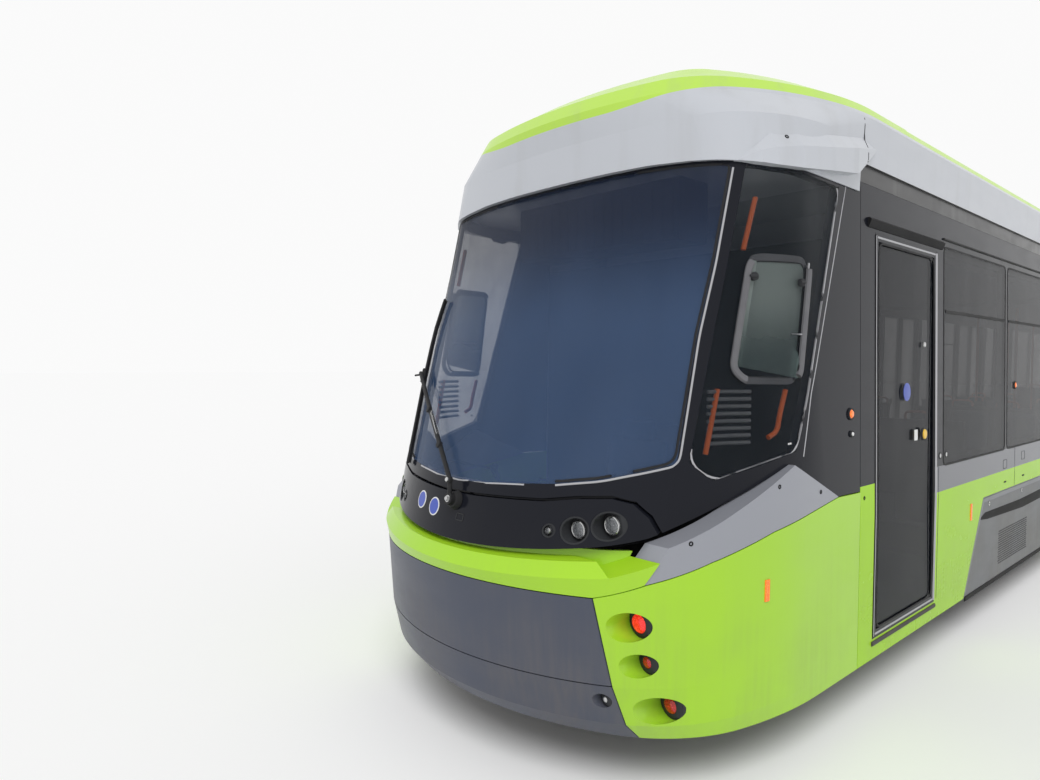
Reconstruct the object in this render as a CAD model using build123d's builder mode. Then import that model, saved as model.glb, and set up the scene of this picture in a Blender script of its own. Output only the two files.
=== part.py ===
"""Five-section low-floor articulated tram, 1435 mm gauge, with cabs at both ends.

Millimetres. +X is the front, +Y the left side, +Z up. The origin is on the floor under
the middle of the tram, level with the tips of the wheel flanges.
Heights are counted from there, so the rail head is at FLANGE.
"""

from build123d import *
import os
from math import cos, radians, sin

# Running gear
GAUGE = 1435.0
FLANGE = 25.0
WHEEL_R = 300.0
TYRE_W = 105.0
FLANGE_W = 30.0
WEB_W = 28.0
HUB_R = 95.0
AXLE_R = 62.0
JOURNAL_FIT = 0.08
WHEELBASE = 1850.0
WHEEL_BACK = (GAUGE - 75.0) / 2
AXLE_Z = WHEEL_R + FLANGE
FLANGE_R = WHEEL_R + FLANGE
WHEEL_ROOM = 32.0

# Sections along the track
LENGTH = 32650.0
NOSE_X = LENGTH / 2
PIVOT_IN = 2100.0
PIVOT_OUT = 9000.0
GAP = 600.0
CAB_BOGIE_X = 11100.0

# Cross-section of the saloon
HALF_W = 1250.0
TOP_HALF_W = 1213.0
LEAN_TOP_Z = 2945.0
SILL_Z = 270.0
FLOOR_Z = 375.0
HIGH_FLOOR_Z = 475.0
HIGH_SLAB = 60.0
RAMP = 600.0
SKIN = 45.0
WAIST_Z = 1100.0
WINDOW_Z0 = 1275.0
WINDOW_Z1 = 2725.0
CEILING_Z = 2640.0
ROOF_Z = 2930.0
PAN_Z = 3060.0
COWL_Z = 3275.0
RIM_Z = 3350.0
GUTTER_Z = 3025.0
GUTTER_W = 1214.5
COWL_W = 1225.0
COWL_TOP_W = 1240.0
COWL_T = 45.0
SEAM = 5.0
SEAT = 0.3
WALL_TOP_Z = ROOF_Z - SEAT
GLASS = 10.0

# Doors
DOOR_Z0 = 385.0
DOOR_Z1 = 2680.0
LEAF_T = 40.0
LEAF_RAIL = 45.0
FRONT_DOOR = (-3110.0, -2130.0)
DOOR_W = 1300.0

# Cab, measured back from the nose tip
CAB_END = -1930.0
PANEL_T = 60.0
BUMPER_SPLIT_Z = 530.0
BELT_Z = 925.0
SHOULDER_T = 95.0
SCREEN_T = 12.0
LID_T = 30.0
LID_JOINT = 7.0
BRIM_Z = 2855.0
BRIM_END = -1900.0
FAIRING_END = -2600.0

# Plan sections of the cab: height, nose, centre arc and its turn, corner arc and turn
NOSE_ARCS = (1600.0, 30.0, 800.0, 75.0)
LOWER_PLANS = (
    (SILL_Z, -167.0),
    (350.0, -95.0),
    (BUMPER_SPLIT_Z, -50.0),
    (BELT_Z, -18.0),
    (1500.0, 0.0),
)
CAGE_PLANS = (
    (BELT_Z, -35.0, (1485.0, 30.0, 626.0, 62.0)),
    (1025.0, -50.0, (1500.0, 30.0, 620.0, 62.0)),
    (1355.0, -140.0, (1600.0, 28.0, 600.0, 60.0)),
    (2125.0, -475.0, (2300.0, 22.0, 400.0, 56.0)),
    (2525.0, -660.0, (3100.0, 17.0, 360.0, 53.0)),
    (LEAN_TOP_Z, -850.0, (6000.0, 9.0, 240.0, 50.0)),
)
FAIRING_PLANS = (
    (BRIM_Z, -808.0, (6000.0, 9.0, 250.0, 50.0)),
    (3125.0, -795.0, (4200.0, 11.8, 340.0, 52.0)),
    (COWL_Z, -770.0, (2600.0, 14.0, 520.0, 58.0)),
)
# The roof's dome above the fairing: height, distance in from the fairing's edge
DOME = ((COWL_Z, 0.0), (3355.0, 45.0), (3425.0, 170.0), (3470.0, 250.0), (3500.0, 340.0))
# The belt's two lengths: side-view range, rim and crest heights at the nose with their rise to the rear
BELT_CREST_IN = 40.0
BELT_PARTS = (
    ((100.0, -270.0), (975.0, 0.16), (1035.0, 0.16)),
    ((-270.0, -470.0), (896.5, 0.45), (997.0, 0.30)),
)
APRON_T = 20.0
APRON_TOP_Z = 1110.0

# Panel lines of the cab in side view: distance behind the nose tip, height
LIME_TOP = (
    (100.0, BELT_Z),
    (-242.0, BELT_Z),
    (-383.0, 991.0),
    (-646.0, 1077.0),
    (-1026.0, 1167.0),
    (-1659.0, 1256.0),
    (CAB_END, 1250.0),
)
NOTCH = (-460.0, 1150.0)
PEAK = (-1188.0, 1462.0)
SIDE_WINDOW = (
    (-986.0, 2865.0),
    (-646.0, 1501.0),
    (-750.0, 1415.0),
    (-1242.0, 1523.0),
    (-1330.0, 1778.0),
    (-1662.0, 2853.0),
)

# Front views, left half from the bottom up: windscreen, lid, and the arch of the roof's brim
SCREEN_EDGE = (
    (150.0, 1356.0),
    (567.0, 1389.0),
    (761.0, 1419.0),
    (916.0, 1465.0),
    (996.0, 1494.0),
    (1005.0, 2070.0),
    (1024.0, 2414.0),
    (1035.0, 2862.0),
    (970.0, 2884.0),
    (820.0, 2902.0),
    (600.0, 2914.0),
)
LID_EDGE = (
    (985.0, 1000.0),
    (978.0, 1185.0),
    (946.0, 1266.0),
    (895.0, 1326.0),
    (817.0, 1348.0),
    (681.0, 1338.0),
    (530.0, 1314.0),
    (352.0, 1306.0),
    (137.0, 1298.0),
)
BRIM_ARCH = (
    (1300.0, 2866.0),
    (1089.0, 2882.0),
    (994.0, 2894.0),
    (847.0, 2911.0),
    (634.0, 2926.0),
    (400.0, 2930.0),
)

# How far the cutting solids reach past the shapes they cut
AHEAD = 100.0
CAB_REACH = 2000.0
WIDE = 1400.0

# Pantograph
PANTO_LOWER = 1300.0
PANTO_UPPER = 1480.0
PANTO_FOLD = 5.0
PANTO_X = 650.0
PANTO_Z = PAN_Z + 230.0
PAN_HALF = 800.0


def plan_section(height, nose, arcs, width, rear, inset=0.0, rise=0.0):
    """A plan of the cab: three tangent arcs a side, from the nose back to rear.

    rise tilts the section, so that it climbs by that much for each unit behind the nose.
    """
    r1, turn1, r2, turn2 = arcs
    a1, a2 = radians(turn1), radians(turn2)
    x0 = NOSE_X + nose - inset
    half = width - inset
    r1, r2 = r1 - inset, r2 - inset
    x1, y1 = x0 - r1 * (1 - cos(a1)), r1 * sin(a1)
    x2, y2 = x1 - r2 * (cos(a1) - cos(a2)), y1 + r2 * (sin(a2) - sin(a1))
    r3 = (half - y2) / (1 - sin(a2))
    x3 = x2 - r3 * cos(a2)
    m2, m3 = (a1 + a2) / 2, (a2 + radians(90)) / 2
    mid2 = (x1 - r2 * (cos(a1) - cos(m2)), y1 + r2 * (sin(m2) - sin(a1)))
    mid3 = (x2 - r3 * (cos(a2) - cos(m3)), y2 + r3 * (sin(m3) - sin(a2)))
    stretch = (1 + rise**2) ** 0.5
    plane = Plane(origin=(NOSE_X, 0, height), x_dir=(1, 0, -rise), z_dir=(rise, 0, 1))

    def at(point, side=1):
        return ((point[0] - NOSE_X) * stretch, side * point[1])

    back = NOSE_X + rear
    with BuildSketch(plane) as section:
        with BuildLine():
            Line(at((back, half)), at((x3, half)))
            ThreePointArc(at((x3, half)), at(mid3), at((x2, y2)))
            ThreePointArc(at((x2, y2)), at(mid2), at((x1, y1)))
            ThreePointArc(at((x1, y1)), at((x0, 0)), at((x1, y1), -1))
            ThreePointArc(at((x1, y1), -1), at(mid2, -1), at((x2, y2), -1))
            ThreePointArc(at((x2, y2), -1), at(mid3, -1), at((x3, half), -1))
            Line(at((x3, half), -1), at((back, half), -1))
            Line(at((back, half), -1), at((back, half)))
        make_face()
    return section.sketch


def side_prism(points, low, high):
    """A solid from a side-view outline, between two distances across the tram."""
    with BuildPart() as prism:
        with BuildSketch(Plane.XZ.offset(-high)):
            with BuildLine():
                Polyline(*points, close=True)
            make_face()
        extrude(amount=high - low)
    return prism.part


def front_prism(points, low, high):
    """A solid from a front-view outline, between two distances along the tram."""
    with BuildPart() as prism:
        with BuildSketch(Plane.YZ.offset(low)):
            with BuildLine():
                Polyline(*points, close=True)
            make_face()
        extrude(amount=high - low)
    return prism.part


def block(low, high):
    """A box between two corners."""
    size = [h - l for l, h in zip(low, high)]
    with BuildPart() as box:
        with Locations(low):
            Box(*size, align=(Align.MIN, Align.MIN, Align.MIN))
    return box.part


def mirrored(points):
    """A front-view outline from its left half, given from the bottom up."""
    return list(points) + [(-y, z) for y, z in reversed(points)]


def cab_line(points, shift=0.0):
    """Side-view points from distances behind the nose tip."""
    return [(NOSE_X + x, z + shift) for x, z in points]


def wall_y(height):
    """Half width of the wall's outside at a height."""
    if height <= WAIST_Z:
        return HALF_W
    return HALF_W - (HALF_W - TOP_HALF_W) * (height - WAIST_Z) / (LEAN_TOP_Z - WAIST_Z)


def cowl_y(height):
    """Half width of the roof's side cowl at a height."""
    return COWL_W + (COWL_TOP_W - COWL_W) * (height - ROOF_Z) / (COWL_Z - ROOF_Z)


def bar(start, end, radius):
    """A round bar between two points."""
    path = Vector(*end) - Vector(*start)
    with BuildPart() as rod:
        with BuildSketch(Plane(origin=start, z_dir=path)):
            Circle(radius)
        extrude(amount=path.length)
    return rod.part


def lower_nose(height):
    """Distance of the lower cab's nose behind the tip at a height."""
    for (z0, n0), (z1, n1) in zip(LOWER_PLANS, LOWER_PLANS[1:]):
        if height <= z1:
            return n0 + (n1 - n0) * (height - z0) / (z1 - z0)
    return LOWER_PLANS[-1][1]


def lower_solid(inset, rear, low, high):
    """The lower cab's envelope between two heights, set in by a distance."""
    heights = [low] + [z for z, _ in LOWER_PLANS if low < z < high] + [high]
    with BuildPart() as lower:
        loft(
            sections=[plan_section(z, lower_nose(z), NOSE_ARCS, HALF_W, rear, inset) for z in heights],
            ruled=True,
        )
    return lower.part


def cage_solid(inset, rear, low, top):
    """The upper cab's envelope between two heights, set in by a distance."""
    with BuildPart() as cage:
        plans = [plan_section(z, nose, arcs, wall_y(z), rear, inset) for z, nose, arcs in CAGE_PLANS]
        loft(sections=plans, ruled=True)
        add(block((PIVOT_OUT, -WIDE, low), (NOSE_X + AHEAD, WIDE, top)), mode=Mode.INTERSECT)
    return cage.part


def face_prism(points, grow, low, high):
    """A solid from a front view's left half and its mirror image, its outline moved outwards by grow."""
    with BuildPart() as prism:
        with BuildSketch(Plane.YZ.offset(low)):
            with BuildLine():
                Polyline(*mirrored(points), close=True)
            make_face()
            if grow:
                offset(amount=grow, kind=Kind.INTERSECTION)
        extrude(amount=high - low)
    return prism.part


# Lamps sunk in bores that point ahead
# Each: distance behind the nose, across and height where its axis meets the panel, bore, lens, depth
BORE_TILT = (-0.985, 0.12, 0.06)
TAIL_BORES = (
    (-351.0, 935.0, 803.0, 66.0, 44.0, 70.0),
    (-386.0, 961.0, 631.0, 54.0, 27.0, 62.0),
    (-477.0, 1007.0, 424.0, 65.0, 39.0, 78.0),
)
BUMPER_BORES = ((-304.0, 828.0, 459.0, 34.0, 15.0, 25.0),)
HEAD_BORES = (
    (-196.0, 580.0, 1183.0, 24.0, 14.0, 22.0),
    (-255.0, 690.0, 1194.0, 54.0, 38.0, 46.0),
    (-335.0, 818.0, 1222.0, 58.0, 40.0, 46.0),
)
LAMP_T = 20.0
LENS_T = 10.0
CUP_T = 8.0
BORE_OUT = 160.0


def bores(table, tilt, start, end, grow, side):
    """Bars along the axes of a table's bores, from start before the panel to end behind the lamp's face."""
    with BuildPart() as bars:
        for x, y, z, radius, _, depth in table:
            axis = Vector(*tilt)
            face = Vector(NOSE_X + x, y, z) + axis * depth
            a = Vector(NOSE_X + x, y, z) - axis * BORE_OUT if start is None else face + axis * start
            b = face + axis * end
            add(bar((a.X, side * a.Y, a.Z), (b.X, side * b.Y, b.Z), radius + grow))
    return bars.part


def bore_lenses(table, tilt, side):
    """The lenses in front of the lamps' faces."""
    with BuildPart() as lenses:
        for x, y, z, _, lens, depth in table:
            axis = Vector(*tilt)
            face = Vector(NOSE_X + x, y, z) + axis * depth
            a, b = face - axis * LENS_T, face + axis
            add(bar((a.X, side * a.Y, a.Z), (b.X, side * b.Y, b.Z), lens))
    return lenses.part


# Lower cab shell: nose bumper, belt, corner panels and shoulder panels
SHELL_TOP_Z = LOWER_PLANS[-1][0]
lower_outer = lower_solid(0.0, CAB_END, SILL_Z, SHELL_TOP_Z)
lower_inner = lower_solid(PANEL_T, CAB_END - 1, SILL_Z - 1, SHELL_TOP_Z + 1)
with BuildPart() as lower_shell:
    add(lower_outer)
    add(lower_inner, mode=Mode.SUBTRACT)
with BuildPart() as shoulder_core:
    with BuildSketch(Plane.XY.offset(BELT_Z - 1)):
        add(plan_section(0, lower_nose(BELT_Z), NOSE_ARCS, HALF_W, CAB_END - 1, SHOULDER_T))
    extrude(amount=700)

SEAM_Y0 = 814.0
SEAM_Y1 = 908.0
bumper_outline = mirrored([(SEAM_Y1, SILL_Z), (SEAM_Y0, BELT_Z - SEAM)])
corner_outline = mirrored([(SEAM_Y1 + SEAM, SILL_Z - 1), (SEAM_Y0 + SEAM, BELT_Z), (SEAM_Y0, 1400.0)])

with BuildPart() as nose_panels_front:
    add(lower_shell.part)
    add(front_prism(bumper_outline, NOSE_X - CAB_REACH, NOSE_X + AHEAD), mode=Mode.INTERSECT)
    low, high = (NOSE_X - CAB_REACH, -HALF_W, BUMPER_SPLIT_Z), (NOSE_X + AHEAD, HALF_W, BUMPER_SPLIT_Z + SEAM)
    add(block(low, high), mode=Mode.SUBTRACT)
    for side in (-1, 1):
        add(bores(BUMPER_BORES, BORE_TILT, None, LAMP_T, 0.0, side), mode=Mode.SUBTRACT)
nose_panels_front.part.label = "nose_panels_front"


def belt_length(span, rim, crest):
    """One length of the belt round the nose, from its foot to its fold and on to its crest."""
    folded = plan_section(rim[0], 0.0, NOSE_ARCS, HALF_W, CAB_END, 0.0, rim[1])
    top = plan_section(crest[0], 0.0, NOSE_ARCS, HALF_W, CAB_END, BELT_CREST_IN, crest[1])
    low, high = sorted((NOSE_X + span[0], NOSE_X + span[1]))
    with BuildPart() as length_of_belt:
        foot = plan_section(BELT_Z, lower_nose(BELT_Z), NOSE_ARCS, HALF_W, CAB_END)
        loft(sections=[foot, folded], ruled=True)
        loft(sections=[folded, top], ruled=True)
        add(block((low, -HALF_W, BELT_Z - 1), (high, HALF_W, SHELL_TOP_Z)), mode=Mode.INTERSECT)
    return length_of_belt.part


def tail_cups(side):
    """Thick walls round the tail lamps' bores, inside the panel."""
    with BuildPart() as cups:
        add(bores(TAIL_BORES, BORE_TILT, None, LAMP_T + CUP_T, CUP_T, side))
        add(lower_outer, mode=Mode.INTERSECT)
    return cups.part


# The belt: a folded rim round the nose, with an apron behind it that carries the lid
belt_cage = cage_solid(SKIN + SEAT, CAB_END, BELT_Z, APRON_TOP_Z)
belt_void = cage_solid(SKIN + SEAT + APRON_T, CAB_END - 1, BELT_Z - 1, APRON_TOP_Z + 1)
with BuildPart() as belt:
    for span, rim, crest in BELT_PARTS:
        add(belt_length(span, rim, crest))
    add(belt_cage)
    add(belt_void, mode=Mode.SUBTRACT)
    joint = [(x + SEAM, z) for x, z in (LIME_TOP[2], NOTCH)]
    belt_side = cab_line([(100.0, BELT_Z), LIME_TOP[1], *joint, (joint[1][0], 1300.0), (100.0, 1300.0)])
    add(side_prism(belt_side, -HALF_W, HALF_W), mode=Mode.INTERSECT)

with BuildPart() as corner_panels_front:
    add(lower_shell.part)
    for side in (-1, 1):
        add(tail_cups(side))
    add(front_prism(corner_outline, NOSE_X - CAB_REACH, NOSE_X + AHEAD), mode=Mode.SUBTRACT)
    below_top = cab_line(LIME_TOP, -SEAM) + cab_line([(CAB_END, SILL_Z - 1), (100.0, SILL_Z - 1)])
    add(side_prism(below_top, -HALF_W - 1, HALF_W + 1), mode=Mode.INTERSECT)
    for side in (-1, 1):
        add(bores(TAIL_BORES, BORE_TILT, None, LAMP_T, 0.0, side), mode=Mode.SUBTRACT)
    add(belt.part)
corner_panels_front.part.label = "corner_panels_front"

with BuildPart() as shoulder_panels_front:
    add(lower_outer)
    add(shoulder_core.part, mode=Mode.SUBTRACT)
    shoulder_side = cab_line([LIME_TOP[2], NOTCH, PEAK, LIME_TOP[5], LIME_TOP[4], LIME_TOP[3]])
    add(side_prism(shoulder_side, -HALF_W - 1, HALF_W + 1), mode=Mode.INTERSECT)
shoulder_panels_front.part.label = "shoulder_panels_front"

# Upper cab: the black mask with its lid, and the glass set in it
CAGE_LOW_Z = 1000.0
CAGE_TOP_Z = WALL_TOP_Z
HEAD_TILT = (-1.0, 0.0, 0.0)
cage_outer = cage_solid(0.0, CAB_END, CAGE_LOW_Z, CAGE_TOP_Z)
cage_inner = cage_solid(SKIN, CAB_END - 1, CAGE_LOW_Z - 1, CAGE_TOP_Z + 1)
glass_inner = cage_solid(SCREEN_T, CAB_END - 1, CAGE_LOW_Z - 1, CAGE_TOP_Z + 1)
cage_side = cab_line(
    [
        (100.0, 1028.0),
        (NOTCH[0], NOTCH[1] + 23.0),
        (PEAK[0], PEAK[1] + SEAT),
        (LIME_TOP[5][0], LIME_TOP[5][1] + SEAT),
        (CAB_END, LIME_TOP[6][1] + SEAT),
        (CAB_END, CAGE_TOP_Z + 1),
        (100.0, CAGE_TOP_Z + 1),
    ]
)


def lid_layer(depth, grow):
    """The outer layer of the mask within the lid's outline, moved outwards by grow."""
    with BuildPart() as layer:
        add(cage_outer)
        add(cage_solid(depth, CAB_END - 1, CAGE_LOW_Z - 1, CAGE_TOP_Z + 1), mode=Mode.SUBTRACT)
        add(face_prism(LID_EDGE, grow, NOSE_X - CAB_REACH, NOSE_X + AHEAD), mode=Mode.INTERSECT)
    return layer.part


def head_lamps(side):
    """The headlamps of one side: dark cups in the lid with a lens at the bottom of each."""
    with BuildPart() as cups:
        add(bores(HEAD_BORES, HEAD_TILT, None, LAMP_T, CUP_T, side))
        add(cage_solid(CUP_T / 4, CAB_END, CAGE_LOW_Z, CAGE_TOP_Z), mode=Mode.INTERSECT)
        add(bores(HEAD_BORES, HEAD_TILT, None, 0.0, 0.0, side), mode=Mode.SUBTRACT)
        add(bore_lenses(HEAD_BORES, HEAD_TILT, side))
    return cups.part


with BuildPart() as mask_body:
    add(cage_outer)
    add(cage_inner, mode=Mode.SUBTRACT)
    add(lid_layer(LID_T + SEAT, LID_JOINT), mode=Mode.SUBTRACT)
    add(front_prism(mirrored(SCREEN_EDGE), NOSE_X - CAB_REACH, NOSE_X + AHEAD), mode=Mode.SUBTRACT)
    for side in (-1, 1):
        low, high = sorted((side * 850.0, side * (HALF_W + 10)))
        add(side_prism(cab_line(SIDE_WINDOW), low, high), mode=Mode.SUBTRACT)
with BuildPart() as mask_front:
    add(mask_body.part)
    add(lid_layer(LID_T, -LID_JOINT))
    add(side_prism(cage_side, -HALF_W - 1, HALF_W + 1), mode=Mode.INTERSECT)
    for side in (-1, 1):
        add(bores(HEAD_BORES, HEAD_TILT, None, 2 * BORE_OUT, CUP_T + SEAT, side), mode=Mode.SUBTRACT)
mask_front.part.label = "mask_front"

# Lamps: dark cups in the lid, and round lamps at the bottom of every bore
with BuildPart() as lamps_front:
    for side in (-1, 1):
        add(head_lamps(side))
        for table in (TAIL_BORES, BUMPER_BORES):
            add(bores(table, BORE_TILT, 0.0, LAMP_T - SEAT, -SEAT, side))
            add(bore_lenses(table, BORE_TILT, side))
lamps_front.part.label = "lamps_front"

# Wiper: its stand on the lid, the arm round the glass and the blade, behind the nose, across and height
WIPER_FOOT = (-112.3, 21.0, 1253.0)
WIPER_SLOPE = 0.2727
WIPER_STAND = 58.0
WIPER_STAND_R = 30.0
WIPER_ARM = (
    (-85.0, 2.0, 1355.0),
    (-162.0, -189.0, 1509.0),
    (-276.0, -441.0, 1676.0),
    (-486.0, -836.0, 1877.0),
)
WIPER_ARM_R = 12.0
WIPER_BLADE = (
    (-235.0, -600.0, 1371.0),
    (-301.0, -655.0, 1489.0),
    (-409.0, -742.0, 1687.0),
    (-506.0, -822.0, 1862.0),
    (-595.0, -878.0, 2048.0),
    (-638.0, -890.0, 2163.0),
    (-666.0, -875.0, 2264.0),
    (-687.0, -860.0, 2342.0),
)
WIPER_BLADE_R = 9.0


def rod_line(points, radius):
    """Round bars from point to point behind the nose, with a ball at each end."""
    places = [(NOSE_X + x, y, z) for x, y, z in points]
    with BuildPart() as rods:
        for start, end in zip(places, places[1:]):
            add(bar(start, end, radius))
        for place in places:
            with Locations(place):
                Sphere(radius)
    return rods.part


with BuildPart() as wiper_front:
    slope = Vector(1, 0, WIPER_SLOPE).normalized()
    foot = Vector(NOSE_X + WIPER_FOOT[0], WIPER_FOOT[1], WIPER_FOOT[2]) + slope * 2 * SEAT
    head = foot + slope * WIPER_STAND
    add(bar(tuple(foot), tuple(head), WIPER_STAND_R))
    elbow = (head.X - NOSE_X - WIPER_ARM_R, head.Y, head.Z)
    add(rod_line((elbow,) + WIPER_ARM + (WIPER_BLADE[3],), WIPER_ARM_R))
    add(rod_line(WIPER_BLADE, WIPER_BLADE_R))
wiper_front.part.label = "wiper_front"

# Saloon walls, glass and doors: one set of bays for each section
# Bays along a section: kind, low x, high x, from the middle of the tram forward
CENTRE_BAYS = (("window", -1500.0, -30.0), ("window", 30.0, 1500.0))
SIDE_BAYS = (
    ("window", PIVOT_IN + GAP / 2 + 90, 3130.0),
    ("door", 3300.0, 3300.0 + DOOR_W),
    ("window", 4720.0, 6380.0),
    ("door", 6500.0, 6500.0 + DOOR_W),
    ("window", 7970.0, PIVOT_OUT - GAP / 2 - 90),
)
CAB_BAYS = (
    ("window", PIVOT_OUT + GAP / 2 + 90, 10220.0),
    ("window", 10280.0, 11600.0),
    ("window", 11660.0, 13080.0),
    ("front_door", NOSE_X + FRONT_DOOR[0], NOSE_X + FRONT_DOOR[1]),
)
COVER_TOP_Z = 945.0
COVER_LEAN = 410.0
COVER_HALF = 1500.0
COVER_IN = 8.0
LEDGE = 45.0
GLASS_FIT = 3.0
PANE = (8.0, 16.0)


def wall_profile(low, high):
    """Cross-section of the left wall between two heights, bent at the waist."""
    line = [(wall_y(z), z) for z in (low, WAIST_Z, high)]
    return line + [(y - SKIN, z) for y, z in reversed(line)]


def slab(x0, x1, z0, z1, outer, inner):
    """A leaning panel of the left side, between two depths below the wall's outside."""
    outline = [
        (wall_y(z0) - outer, z0),
        (wall_y(z1) - outer, z1),
        (wall_y(z1) - inner, z1),
        (wall_y(z0) - inner, z0),
    ]
    return front_prism(outline, x0, x1)


def left_wall(x0, x1, bays, cover, ends):
    """The left wall of a section with its windows and doorways cut, over its bogie if it has one."""
    with BuildPart() as wall:
        add(front_prism(wall_profile(SILL_Z, WALL_TOP_Z), x0, x1))
        for end_x, pivot_x in ends:
            add(portal(end_x, pivot_x))
        for kind, low, high in bays:
            if kind == "window":
                hole = block((low + LEDGE, 0, WINDOW_Z0 + LEDGE), (high - LEDGE, WIDE, WINDOW_Z1 - LEDGE))
                add(hole, mode=Mode.SUBTRACT)
                add(slab(low, high, WINDOW_Z0, WINDOW_Z1, -5.0, GLASS), mode=Mode.SUBTRACT)
            else:
                doorway = block((low - SEAM, 0, DOOR_Z0 - SEAT), (high + SEAM, WIDE, DOOR_Z1 + SEAT))
                add(doorway, mode=Mode.SUBTRACT)
        if cover:
            low, high = cover
            gap = [
                (low - SEAM, SILL_Z - 1),
                (low + COVER_LEAN - SEAM, COVER_TOP_Z + SEAM),
                (high - COVER_LEAN + SEAM, COVER_TOP_Z + SEAM),
                (high + SEAM, SILL_Z - 1),
            ]
            add(side_prism(gap, 0, WIDE), mode=Mode.SUBTRACT)
    return wall.part


def left_cover(low, high):
    """The swing-up skirt over a bogie, with slanted ends."""
    outline = [
        (low, SILL_Z),
        (low + COVER_LEAN, COVER_TOP_Z),
        (high - COVER_LEAN, COVER_TOP_Z),
        (high, SILL_Z),
    ]
    return side_prism(outline, HALF_W - SKIN, HALF_W - COVER_IN)


def side_glass(bays):
    """The glass of the left side's windows."""
    with BuildPart() as glass:
        for kind, low, high in bays:
            if kind == "window":
                low_z, high_z = WINDOW_Z0 + GLASS_FIT, WINDOW_Z1 - GLASS_FIT
                add(slab(low + GLASS_FIT, high - GLASS_FIT, low_z, high_z, 0.0, GLASS))
    return glass.part


def door_leaf(low, high):
    """One glazed door leaf of the left side, closed."""
    with BuildPart() as leaf:
        add(slab(low, high, DOOR_Z0, DOOR_Z1, 0.0, LEAF_T))
        add(
            block((low + LEAF_RAIL, 0, DOOR_Z0 + LEAF_RAIL), (high - LEAF_RAIL, WIDE, DOOR_Z1 - LEAF_RAIL)),
            mode=Mode.SUBTRACT,
        )
        add(slab(low + LEAF_RAIL, high - LEAF_RAIL, DOOR_Z0 + LEAF_RAIL, DOOR_Z1 - LEAF_RAIL, *PANE))
    return leaf.part


def left_doors(bays):
    """The closed door leaves of the left side: one leaf at the front, two elsewhere."""
    with BuildPart() as doors:
        for kind, low, high in bays:
            if kind == "front_door":
                add(door_leaf(low, high))
            elif kind == "door":
                middle = (low + high) / 2
                add(door_leaf(low, middle - SEAM / 2))
                add(door_leaf(middle + SEAM / 2, high))
    return doors.part


def both_sides(part, label):
    """A node with a left-hand piece and its mirror image."""
    with BuildPart() as pair:
        add(part)
        mirror(about=Plane.XZ)
    pair.part.label = label
    return pair.part


COWL = (
    (GUTTER_W, ROOF_Z),
    (GUTTER_W, GUTTER_Z),
    (cowl_y(GUTTER_Z), GUTTER_Z),
    (COWL_TOP_W, COWL_Z),
    (COWL_TOP_W - COWL_T, RIM_Z),
)
PAN_IN = 60.0
UNIT_EDGE = 70.0


def saloon_roof(x0, x1, units):
    """A roof with its ceiling, its side cowls and the equipment cases between them."""
    with BuildPart() as roof:
        add(front_prism(mirrored(COWL), x0, x1))
        pan_w = COWL_W - PAN_IN
        add(block((x0 - 1, -pan_w, PAN_Z), (x1 + 1, pan_w, RIM_Z + 1)), mode=Mode.SUBTRACT)
        add(block((x0, -(TOP_HALF_W - SKIN - SEAM), CEILING_Z), (x1, TOP_HALF_W - SKIN - SEAM, ROOF_Z)))
        for low, high, half, top in units:
            outline = [(half, PAN_Z), (half, top - UNIT_EDGE), (half - UNIT_EDGE, top)]
            add(front_prism(mirrored(outline), low, high))
    return roof.part


# Roof cases: low x, high x, half width, top
CENTRE_UNITS = ((-1500.0, -700.0, 800.0, 3290.0),)
SIDE_UNITS = (
    (2600.0, 4300.0, 850.0, 3330.0),
    (4700.0, 6300.0, 900.0, 3360.0),
    (6700.0, 8400.0, 850.0, 3330.0),
)
CAB_UNITS = ((9500.0, 11300.0, 900.0, 3370.0), (11600.0, 13000.0, 850.0, 3330.0))

# Camera pods on the fairing: x behind the nose, then top, fold, lower edge and the two points inside
POD_SECTIONS = (
    (-950.0, ((1064.0, 2892.0), (1070.0, 2890.0), (1070.0, 2886.0), (1040.0, 2886.0), (1040.0, 2892.0))),
    (-1020.0, ((1110.0, 2958.0), (1140.0, 2931.0), (1160.0, 2871.0), (1090.0, 2871.0), (1080.0, 2940.0))),
    (-1090.0, ((1138.0, 3022.0), (1182.0, 2950.0), (1200.0, 2865.0), (1120.0, 2865.0), (1100.0, 3000.0))),
    (-1240.0, ((1199.0, 3037.0), (1240.0, 2974.0), (1252.0, 2867.0), (1160.0, 2867.0), (1140.0, 3010.0))),
    (-1500.0, ((1234.0, 3082.0), (1274.0, 3011.0), (1276.0, 2896.0), (1195.0, 2896.0), (1160.0, 3040.0))),
    (-1750.0, ((1236.0, 3124.0), (1280.0, 3057.0), (1281.0, 2927.0), (1195.0, 2927.0), (1165.0, 3080.0))),
    (-1880.0, ((1237.0, 3146.0), (1264.0, 3083.0), (1264.0, 3000.0), (1195.0, 3000.0), (1170.0, 3090.0))),
    (-2060.0, ((1238.0, 3119.0), (1241.0, 3116.0), (1241.0, 3108.0), (1195.0, 3104.0), (1195.0, 3114.0))),
)


def pod_section(x, points):
    """A section across a camera pod, by the distance behind the nose."""
    with BuildSketch(Plane.YZ.offset(NOSE_X + x)) as section:
        with BuildLine():
            Polyline(*points, close=True)
        make_face()
    return section.sketch


with BuildPart() as left_pod:
    loft(sections=[pod_section(x, points) for x, points in POD_SECTIONS], ruled=True)

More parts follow.
